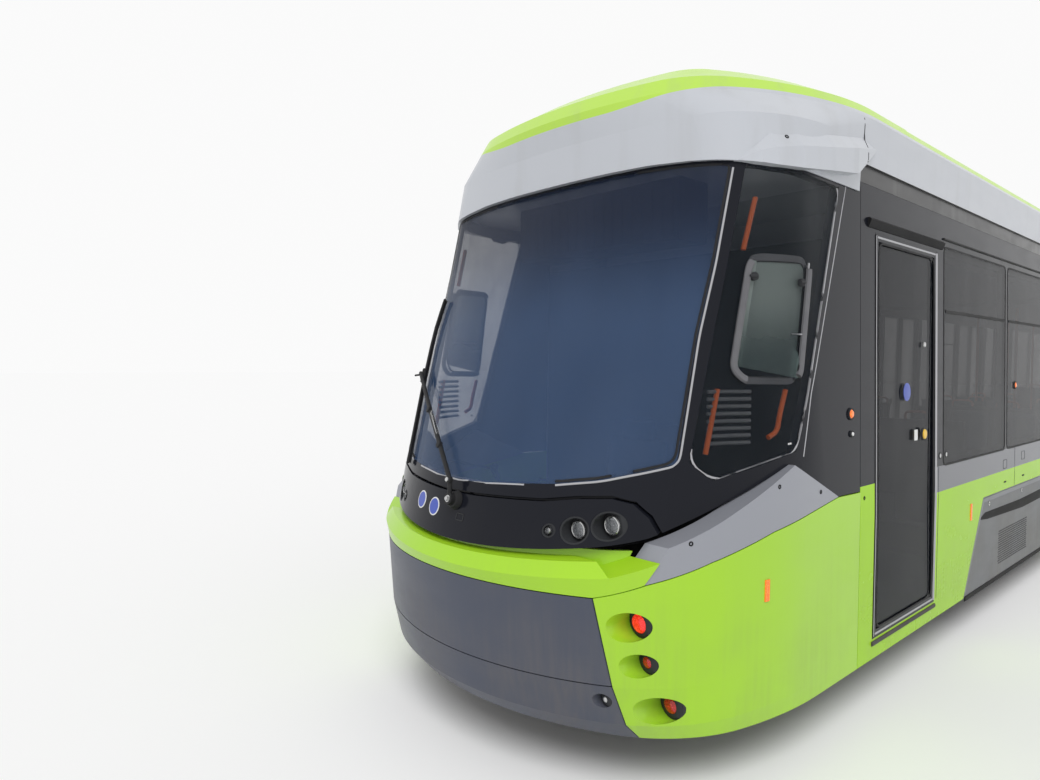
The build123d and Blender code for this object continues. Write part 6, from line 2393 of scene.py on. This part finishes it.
@dataclass
class Upholstery:
    """Seat pads, puffed by a short cloth simulation and laid on the seats' shells."""

    yard: Yard
    rows: dict[str, tuple[tuple[float, int, float], ...]] = field(default_factory=lambda: {
        "centre": ((-1.08, 1, 0.92), (1.08, -1, 0.92)),
        "second": ((4.90, 1, 0.83), (6.23, -1, 0.83)),
        "front": ((10.02, 1, 0.92), (12.18, -1, 0.92)),
    })
    seats_y: tuple[float, float] = (0.52, 0.925)
    width: float = 0.385
    cushion: float = 0.350
    back: float = 0.460
    thick: float = 0.040
    voxel: float = 0.0145
    pressure: float = 4.0
    frames: int = 20
    cap: float = 0.012
    handle: Path = (
        (-0.13, 0.0, 0.50), (-0.145, -0.03, 0.60), (-0.150, -0.03, 0.655), (-0.150, 0.06, 0.665),
        (-0.150, 0.15, 0.655), (-0.135, 0.16, 0.585),
    )

    def build(self) -> None:
        """Makes two pads and lays copies of them on every seat."""
        cushion = self.pad("cushion_pad", self.cushion, self.width)
        back = self.pad("back_pad", self.back, self.width * 0.97)
        for body, rows in self.rows.items():
            shape, shells = Shape(), Shape()
            for x, facing, height in rows:
                for y in self.seats_y:
                    seat = (x, facing, height, y)
                    shape.join(cushion.moved(self.cushion_at(*seat)), back.moved(self.back_at(*seat)))
                    shells.join(self.grip(*seat))
            shape, shells = shape.both_sides(), shells.both_sides()
            for name, turn in zip(TWINS.get(body, (body,)), (Matrix(), TURN)):
                pads = self.yard.piece(shape.moved(turn), f"seat_pads_{name}", name, "seat_fabric", 60.0)
                self.yard.piece(shells.moved(turn), f"seat_grips_{name}", name, "pole_orange")
        self.driver()
        log.info("upholstery: %d faces a pad", len(cushion.faces))

    def driver(self) -> None:
        """The driver's seat pads at both ends."""
        seat = self.pad("driver_pad", 0.42, 0.47)
        rest = self.pad("driver_back_pad", 0.60, 0.46)
        head = self.pad("driver_head_pad", 0.16, 0.28)
        base = Vector((NOSE_X - 1.270, 0.0, 0.893))
        low, high = Vector((NOSE_X - 1.480, 0.0, 0.88)), Vector((NOSE_X - 1.620, 0.0, 1.56))
        along = (high - low).normalized()
        facing = Vector((along.z, 0.0, -along.x))
        tilt = Matrix((along, Vector((0.0, -1.0, 0.0)), facing)).transposed().to_4x4()
        shape = seat.moved(Matrix.Translation(base) @ Matrix.Rotation(math.radians(-2.7), 4, "Y"))
        shape.join(rest.moved(Matrix.Translation(low.lerp(high, 0.45)) @ tilt))
        shape.join(head.moved(Matrix.Translation(low.lerp(high, 0.93) + facing * 0.01) @ tilt))
        for name, turn in (("front", Matrix()), ("rear", TURN)):
            pads = self.yard.piece(shape.moved(turn), f"driver_pads_{name}", name, "seat_fabric", 60.0)

    def frame_of(self, x: float, facing: int, height: float, y: float, a: Point, b: Point) -> Matrix:
        """The frame of a pad that lies on the shell from point a to point b of its outline.

        Args:
            x: The seat's place along the tram.
            facing: 1 for a seat that faces forward, -1 for one that faces back.
            height: The shell's height.
            y: The seat's place across.
            a: The pad's start on the shell's outline.
            b: The pad's end.

        Returns:
            The pad's frame.
        """
        start, end = (Vector((x + facing * p[0], y, height + p[1])) for p in (a, b))
        along = (end - start).normalized()
        up = LEFT.cross(along) * (-1 if facing > 0 else 1)
        if up.z < 0 and abs(up.z) > 0.5 or up.x * facing < 0 and abs(up.x) > 0.5:
            up = -up
        across = up.cross(along)
        turn = Matrix((along, across, up)).transposed().to_4x4()
        return Matrix.Translation((start + end) / 2 + up * 0.001) @ turn

    def cushion_at(self, x: float, facing: int, height: float, y: float) -> Matrix:
        """Where a seat's cushion lies."""
        return self.frame_of(x, facing, height, y, (0.020, 0.058, 0), (0.385, 0.0215, 0))

    def back_at(self, x: float, facing: int, height: float, y: float) -> Matrix:
        """Where a seat's back pad lies."""
        return self.frame_of(x, facing, height, y, (-0.012, 0.120, 0), (-0.106, 0.580, 0))

    def grip(self, x: float, facing: int, height: float, y: float) -> Shape:
        """The bent grab handle on a seat's corner."""
        path = [Vector((x + facing * a, y - 0.16 + b, height + z)) for a, b, z in self.handle]
        return tube(rounded(path, 0.03, closed=False, cuts=3), 0.011, 8)

    def core(self, length: float, width: float) -> Shape:
        """A pad's plain closed form, a little smaller than the pad.

        Args:
            length: The pad's size along X.
            width: Its size along Y.

        Returns:
            The form.
        """
        def ring(inset: float, z: float) -> list[Vector]:
            """A rounded rectangle.

            Args:
                inset: How far it lies inside the pad's edge.
                z: Its height.

            Returns:
                The rectangle's points.
            """
            a, b = length / 2 - inset, width / 2 - inset
            return rounded(
                [Vector((a, b, z)), Vector((-a, b, z)), Vector((-a, -b, z)), Vector((a, -b, z))], 0.045,
                cuts=4,
            )
        steps = (
            (0.016, 0.0), (0.008, 0.004), (0.006, self.thick * 0.5), (0.012, self.thick - 0.008),
            (0.024, self.thick),
        )
        return Shape().rings([ring(inset, z) for inset, z in steps])

    def pad(self, name: str, length: float, width: float) -> Shape:
        """One puffed pad lying on the origin, with its welt.

        Args:
            name: The helper's name.
            length: The pad's size along X.
            width: Its size along Y.

        Returns:
            The pad as a shape.
        """
        helper = bpy.data.objects.new(name, self.core(length, width).mesh(name))
        bpy.context.scene.collection.objects.link(helper)
        remesh = helper.modifiers.new("remesh", "REMESH")
        remesh.mode, remesh.voxel_size = "VOXEL", self.voxel
        graph = bpy.context.evaluated_depsgraph_get()
        plain = bpy.data.meshes.new_from_object(helper.evaluated_get(graph), depsgraph=graph)
        helper.modifiers.clear()
        helper.data = plain
        rest = [vertex.co.copy() for vertex in plain.vertices]
        moved = self.puffed(helper)
        out = Shape()
        points = []
        for old, new in zip(rest, moved):
            step = new - old
            if step.length > self.cap:
                step *= self.cap / step.length
            point = old + step
            point.z = max(point.z, -0.002 if old.z < 0.004 else 0.0)
            points.append(point)
        out.add(points, [tuple(face.vertices) for face in plain.polygons])
        bpy.data.objects.remove(helper)
        a, b = length / 2 - 0.001, width / 2 - 0.001
        welt = rounded(
            [Vector((a, b, 0)), Vector((-a, b, 0)), Vector((-a, -b, 0)), Vector((a, -b, 0))], 0.05, cuts=4,
        )
        welt = [point + Vector((0, 0, self.thick * 0.62)) for point in welt]
        rings = []
        for i, point in enumerate(welt):
            along = (welt[(i + 1) % len(welt)] - welt[i - 1]).normalized()
            side = along.cross(UP)
            turns = [k * math.tau / 5 for k in range(5)]
            rings.append([point + (side * math.cos(turn) + UP * math.sin(turn)) * 0.004 for turn in turns])
        return out.join(Shape().rings(rings, closed=True))

    def puffed(self, helper: bpy.types.Object) -> list[Vector]:
        """Runs the cloth simulation and returns the moved points.

        Args:
            helper: The object that carries the pad's form.

        Returns:
            The moved points.
        """
        scene = bpy.context.scene
        cloth = helper.modifiers.new("cloth", "CLOTH")
        cloth.settings.use_pressure = True
        cloth.settings.uniform_pressure_force = self.pressure
        cloth.settings.effector_weights.gravity = 0.0
        cloth.settings.quality = 5
        cloth.point_cache.frame_start, cloth.point_cache.frame_end = 1, self.frames
        for step in range(1, self.frames + 1):
            scene.frame_set(step)
        graph = bpy.context.evaluated_depsgraph_get()
        done = helper.evaluated_get(graph)
        points = [vertex.co.copy() for vertex in done.data.vertices]
        helper.modifiers.clear()
        scene.frame_set(1)
        return points


@dataclass
class CabInterior:
    """What shows through the windscreen: the desk's panels, two joysticks and small slats on the sign."""

    yard: Yard
    desk_top: Point = (NOSE_X - 0.35, 0.0, 1.18)
    desk_edge: Point = (NOSE_X - 0.70, 0.0, 1.23)
    panel: tuple[tuple[float, float], ...] = ((0.07, 0.08), (-0.07, 0.08), (-0.07, -0.08), (0.07, -0.08))
    knob: tuple[tuple[float, float], ...] = (
        (0, 0), (0.020, 0.004), (0.026, 0.018), (0.018, 0.032), (0, 0.036),
    )
    sign_z: tuple[float, float] = (2.62, 2.90)

    def build(self) -> None:
        """Makes the small parts of both cabs."""
        dark, light = Shape(), Shape()
        top, edge = Vector(self.desk_top), Vector(self.desk_edge)
        up = (edge - top).cross(LEFT).normalized()
        if up.z < 0:
            up = -up
        for y in frange(-0.40, 0.40, 0.20):
            place = top.lerp(edge, 0.55) + Vector((0, y, 0))
            corners = [place + Vector((dx, dy, 0)) for dx, dy in self.panel]
            ring = rounded(corners, 0.015, cuts=3)
            raised = [p + up * 0.018 for p in ring]
            dark.join(Shape().rings([ring, raised, [p.lerp(place, 0.06) + up * 0.022 for p in ring]]))
        for y in (-0.30, 0.30):
            foot = top.lerp(edge, 0.9) + Vector((0, y, 0))
            dark.join(tube([foot, foot + Vector((0.01, 0, 0.06)), foot + Vector((0.03, 0, 0.10))], 0.012, 10))
            light.join(spun(foot + Vector((0.03, 0, 0.095)), Vector((0.3, 0, 1)), self.knob, 16))
        for y in frange(-0.56, 0.56, 0.07):
            low, high = self.sign_z
            light.join(slab((NOSE_X - 1.126, y - 0.024, low), (NOSE_X - 1.117, y + 0.024, high), 0.003))
        self.yard.ends(dark, "desk_panels", "grey_rubber")
        self.yard.ends(light, "cab_small_parts", "cab_plastic")


@dataclass
class Livery:
    """Gives every carried-over CAD node its finish, face by face where a node has several."""

    palette: Palette
    lamps: LampTrim
    by_stem: dict[str, str] = field(default_factory=lambda: {
        "nose_panels": "slate_paint", "corner_panels": "lime_paint", "shoulder_panels": "silver_paint",
        "mask": "black_gloss", "glazing": "tinted_glass", "walls": "body_paint", "roof": "roof_paint",
        "doors": "door_black", "floor": "frame_steel", "fittings": "cab_plastic", "cab_fit": "cab_plastic",
        "lamps": "cab_plastic", "bogie": "bogie_iron", "wheelset": "wheel_steel", "bellows": "bellows_rubber",
        "panto": "panto_steel", "wiper": "black_rubber",
    })
    screen_edge: tuple[float, float, float] = (1.008, 1.494, 0.0285)
    post_x: float = 14.19
    cover_top: float = 0.947
    cover_edge: tuple[float, float, float] = (1.505, 0.27, 0.607)
    pane_depth: tuple[float, float] = (0.0115, 0.028)
    ceiling: tuple[float, float] = (1.17, 2.95)
    trough: tuple[float, float, float] = (13.72, 1.175, 3.05)
    case_tops: float = 3.36
    floor_z: tuple[float, float] = (0.36, 0.72)
    floor_half: float = 1.206
    poles: dict[str, tuple[tuple[float, float], ...]] = field(default_factory=lambda: {
        "second": ((3.0, 0.48), (4.8, 0.42), (6.35, 0.42), (8.15, 0.48)), "front": ((13.16, 0.48),),
    })
    pole_reach_squared: float = 0.0006
    seat_half: float = 0.262
    lens_reach: float = 0.012

    def dress(self) -> None:
        """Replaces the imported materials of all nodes."""
        for name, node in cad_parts.items():
            stem = next(s for s in self.by_stem if name.startswith(s))
            plain = self.by_stem[stem]
            rule = getattr(self, "rule_" + stem, None)
            used, places = [plain], []
            sign = -1.0 if name.endswith(("_rear", "_fourth")) else 1.0
            for face in node.data.polygons:
                centre, normal = face.center.copy(), face.normal.copy()
                centre.x, centre.y, normal.x, normal.y = (
                    sign * v
                    for v in (centre.x, centre.y, normal.x, normal.y)
                )
                finish = (rule(name, centre, normal) if rule else None) or plain
                if finish not in used:
                    used.append(finish)
                places.append(used.index(finish))
            node.data.materials.clear()
            for finish in used:
                node.data.materials.append(self.palette[finish])
            node.data.polygons.foreach_set("material_index", places)
        log.info("livery: %d nodes", len(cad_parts))

    def rule_glazing(self, name: str, centre: Vector, normal: Vector) -> str | None:
        """The windscreen, the cab's side glass or a saloon window.

        Args:
            name: The node.
            centre: The middle of a face, turned into the front half.
            normal: The face's normal, turned the same way.

        Returns:
            The face's finish, or None for the node's own.
        """
        if centre.x < CAB_END_X or "front" not in name and "rear" not in name:
            return None
        half, height, slope = self.screen_edge
        edge = half + (centre.z - height) * slope
        return "screen_glass" if abs(centre.y) < edge else "cab_glass"

    def rule_walls(self, name: str, centre: Vector, normal: Vector) -> str | None:
        """The lining inside, the post ahead of the front door, and the bogie covers.

        Args:
            name: The node.
            centre: The middle of a face, turned into the front half.
            normal: The face's normal, turned the same way.

        Returns:
            The face's finish, or None for the node's own.
        """
        if centre.y * normal.y < -0.5:
            return "roof_case"
        if name in ("walls_front", "walls_rear") and centre.x > self.post_x:
            return "door_post"
        if name not in ("walls_centre", "walls_front", "walls_rear") or centre.z >= self.cover_top:
            return None
        half, height, slope = self.cover_edge
        middle = 0.0 if name == "walls_centre" else BOGIE_X
        reach = half - max(0.0, centre.z - height) * slope
        return "cover_grey" if abs(centre.x - middle) < reach else None

    def rule_doors(self, name: str, centre: Vector, normal: Vector) -> str | None:
        """The panes of the leaves.

        Args:
            name: The node.
            centre: The middle of a face, turned into the front half.
            normal: The face's normal, turned the same way.

        Returns:
            The face's finish, or None for the node's own.
        """
        outside = WALL.near((centre.x, 0.0, centre.z))[0].y
        low, high = self.pane_depth
        inside = low < outside - abs(centre.y) < high
        return "tinted_glass" if abs(normal.y) > 0.9 and inside else None

    def rule_roof(self, name: str, centre: Vector, normal: Vector) -> str | None:
        """The trough and cases, the flat top and the ceiling.

        Args:
            name: The node.
            centre: The middle of a face, turned into the front half.
            normal: The face's normal, turned the same way.

        Returns:
            The face's finish, or None for the node's own.
        """
        half, height = self.ceiling
        if centre.z < height and abs(centre.y) < half and centre.x < CAB_END_X:
            return "roof_case"
        reach, half, height = self.trough
        if abs(centre.x) < reach and abs(centre.y) < half and centre.z > height:
            return "roof_case"
        return "roof_case" if normal.z > 0.9 and centre.z > self.case_tops else None

    def rule_floor(self, name: str, centre: Vector, normal: Vector) -> str | None:
        """The floor covering.

        Args:
            name: The node.
            centre: The middle of a face, turned into the front half.
            normal: The face's normal, turned the same way.

        Returns:
            The face's finish, or None for the node's own.
        """
        low, high = self.floor_z
        inside = low < centre.z < high and abs(centre.y) < self.floor_half
        return "floor_vinyl" if normal.z > 0.9 and inside else None

    def rule_fittings(self, name: str, centre: Vector, normal: Vector) -> str | None:
        """The grab poles, which stand on their own.

        Args:
            name: The node.
            centre: The middle of a face, turned into the front half.
            normal: The face's normal, turned the same way.

        Returns:
            The face's finish, or None for the node's own.
        """
        section = {"fourth": "second", "rear": "front"}.get(name.split("_")[1], name.split("_")[1])
        for x, y in self.poles.get(section, ()):
            if (centre.x - x) ** 2 + (abs(centre.y) - y) ** 2 < self.pole_reach_squared:
                return "pole_orange"
        return None

    def rule_cab_fit(self, name: str, centre: Vector, normal: Vector) -> str | None:
        """The driver's seat and the blank sign's face.

        Args:
            name: The node.
            centre: The middle of a face, turned into the front half.
            normal: The face's normal, turned the same way.

        Returns:
            The face's finish, or None for the node's own.
        """
        if NOSE_X - 1.7 < centre.x < NOSE_X - 1.02 and abs(centre.y) < self.seat_half:
            return "black_rubber"
        return "black_matt" if centre.z > 2.59 and centre.x > NOSE_X - 1.4 else None

    def rule_lamps(self, name: str, centre: Vector, normal: Vector) -> str | None:
        """Lamps' discs in bowls: bright behind the clear glasses, red in the scoops.

        Args:
            name: The node.
            centre: The middle of a face, turned into the front half.
            normal: The face's normal, turned the same way.

        Returns:
            The face's finish, or None for the node's own.
        """
        centre = Vector((centre.x, abs(centre.y), centre.z))
        for table, tilt, finish in (
            (self.lamps.heads, (-1.0, 0.0, 0.0), "reflector"),
            (self.lamps.tails, self.lamps.tilt, "lamp_lens"),
            (self.lamps.bumper, self.lamps.tilt, "bright_steel"),
        ):
            axis = Vector(tilt).normalized()
            for lamp in table:
                away = centre - self.lamps.face(lamp, axis)
                along = away.dot(axis)
                if (away - axis * along).length < lamp[4] * 1.02 and abs(along) < self.lens_reach:
                    return finish
        return None


@dataclass
class Studio:
    """The pale floor, the soft lights and the camera at the photograph's place."""

    eye: Point = (18.395, 2.887, 1.935)
    right: Point = (-0.7397420, 0.6728735, 0.0047969)
    ahead: Point = (-0.6725776, -0.7391617, -0.0357692)
    focal_px: float = 721.0
    image_px: float = 1040.0
    sensor_mm: float = 36.0
    floor_reach: float = 150.0
    sun: float = 1.60
    sun_from: Point = (0.55, 0.50, 0.95)
    diffuse_sky: float = 0.60
    seen_sky: float = 0.96

    def build(self) -> None:
        """Makes the whole studio."""
        self.camera()
        self.floor()
        self.light()
        log.info("studio: camera, floor and lights")

    def camera(self) -> None:
        """Puts the camera where the photograph was taken from."""
        data = bpy.data.cameras.new("camera")
        data.sensor_width = self.sensor_mm
        data.lens = self.focal_px / self.image_px * self.sensor_mm
        data.clip_end = 500.0
        item = bpy.data.objects.new("camera", data)
        bpy.context.scene.collection.objects.link(item)
        right, ahead = Vector(self.right), Vector(self.ahead)
        up = right.cross(ahead)
        columns = Matrix((right, up, -ahead)).transposed()
        item.matrix_world = Matrix.Translation(Vector(self.eye)) @ columns.to_4x4()
        bpy.context.scene.camera = item

    def floor(self) -> None:
        """Lays the floor, which looks white to the camera away from the object."""
        mesh = bpy.data.meshes.new("floor")
        r = self.floor_reach
        mesh.from_pydata([(-r, -r, 0), (r, -r, 0), (r, r, 0), (-r, r, 0)], [], [(0, 1, 2, 3)])
        item = bpy.data.objects.new("floor", mesh)
        bpy.context.scene.collection.objects.link(item)
        made = Finish("floor_white", Base_Color=(0.95, 0.95, 0.95), Roughness=0.95, Specular_IOR_Level=0.0)
        item.data.materials.append(made.material)

    def light(self) -> None:
        """Sets the world to white for the camera and a plain grey for the object, with one soft sun."""
        scene = bpy.context.scene
        scene.view_settings.view_transform = "Standard"
        world = bpy.data.worlds.new("studio")
        scene.world = world
        world.use_nodes = True
        graph = Graph(world.node_tree)
        path = graph.node("ShaderNodeLightPath").outputs
        seen = graph.math("MAXIMUM", path["Is Camera Ray"], path["Is Glossy Ray"])
        seen = graph.math("MAXIMUM", seen, path["Is Transmission Ray"])
        back = world.node_tree.nodes["Background"]
        graph.feed(back.inputs["Color"], (1.0, 1.0, 1.0))
        graph.feed(back.inputs["Strength"], graph.ramp(seen, 0.0, 1.0, self.diffuse_sky, self.seen_sky))
        data = bpy.data.lights.new("sun", "SUN")
        data.energy = self.sun
        data.angle = math.radians(35)
        sun = bpy.data.objects.new("sun", data)
        sun.rotation_euler = Vector(self.sun_from).to_track_quat("Z", "Y").to_euler()
        sun.visible_glossy = False
        scene.collection.objects.link(sun)


def main() -> None:
    """Builds the dressed tram."""
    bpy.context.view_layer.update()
    palette = Palette()
    yard = Yard(palette)
    repeats = Repeats(yard)
    Studio().build()
    lamps = LampTrim(yard)
    CabTrim(yard, repeats).build()
    lamps.build()
    WiperTrim(yard).build()
    SaloonTrim(yard, repeats).build()
    RoofTrim(yard, repeats).build()
    PantographTrim(yard, repeats).build()
    BogieTrim(yard, repeats).build()
    CabInterior(yard).build()
    Upholstery(yard).build()
    Bellows(yard, repeats).build()
    Livery(palette, lamps).dress()
    log.info("dressing: %d pieces, quick=%s", yard.count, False)


if __name__ == "__main__":
    main()
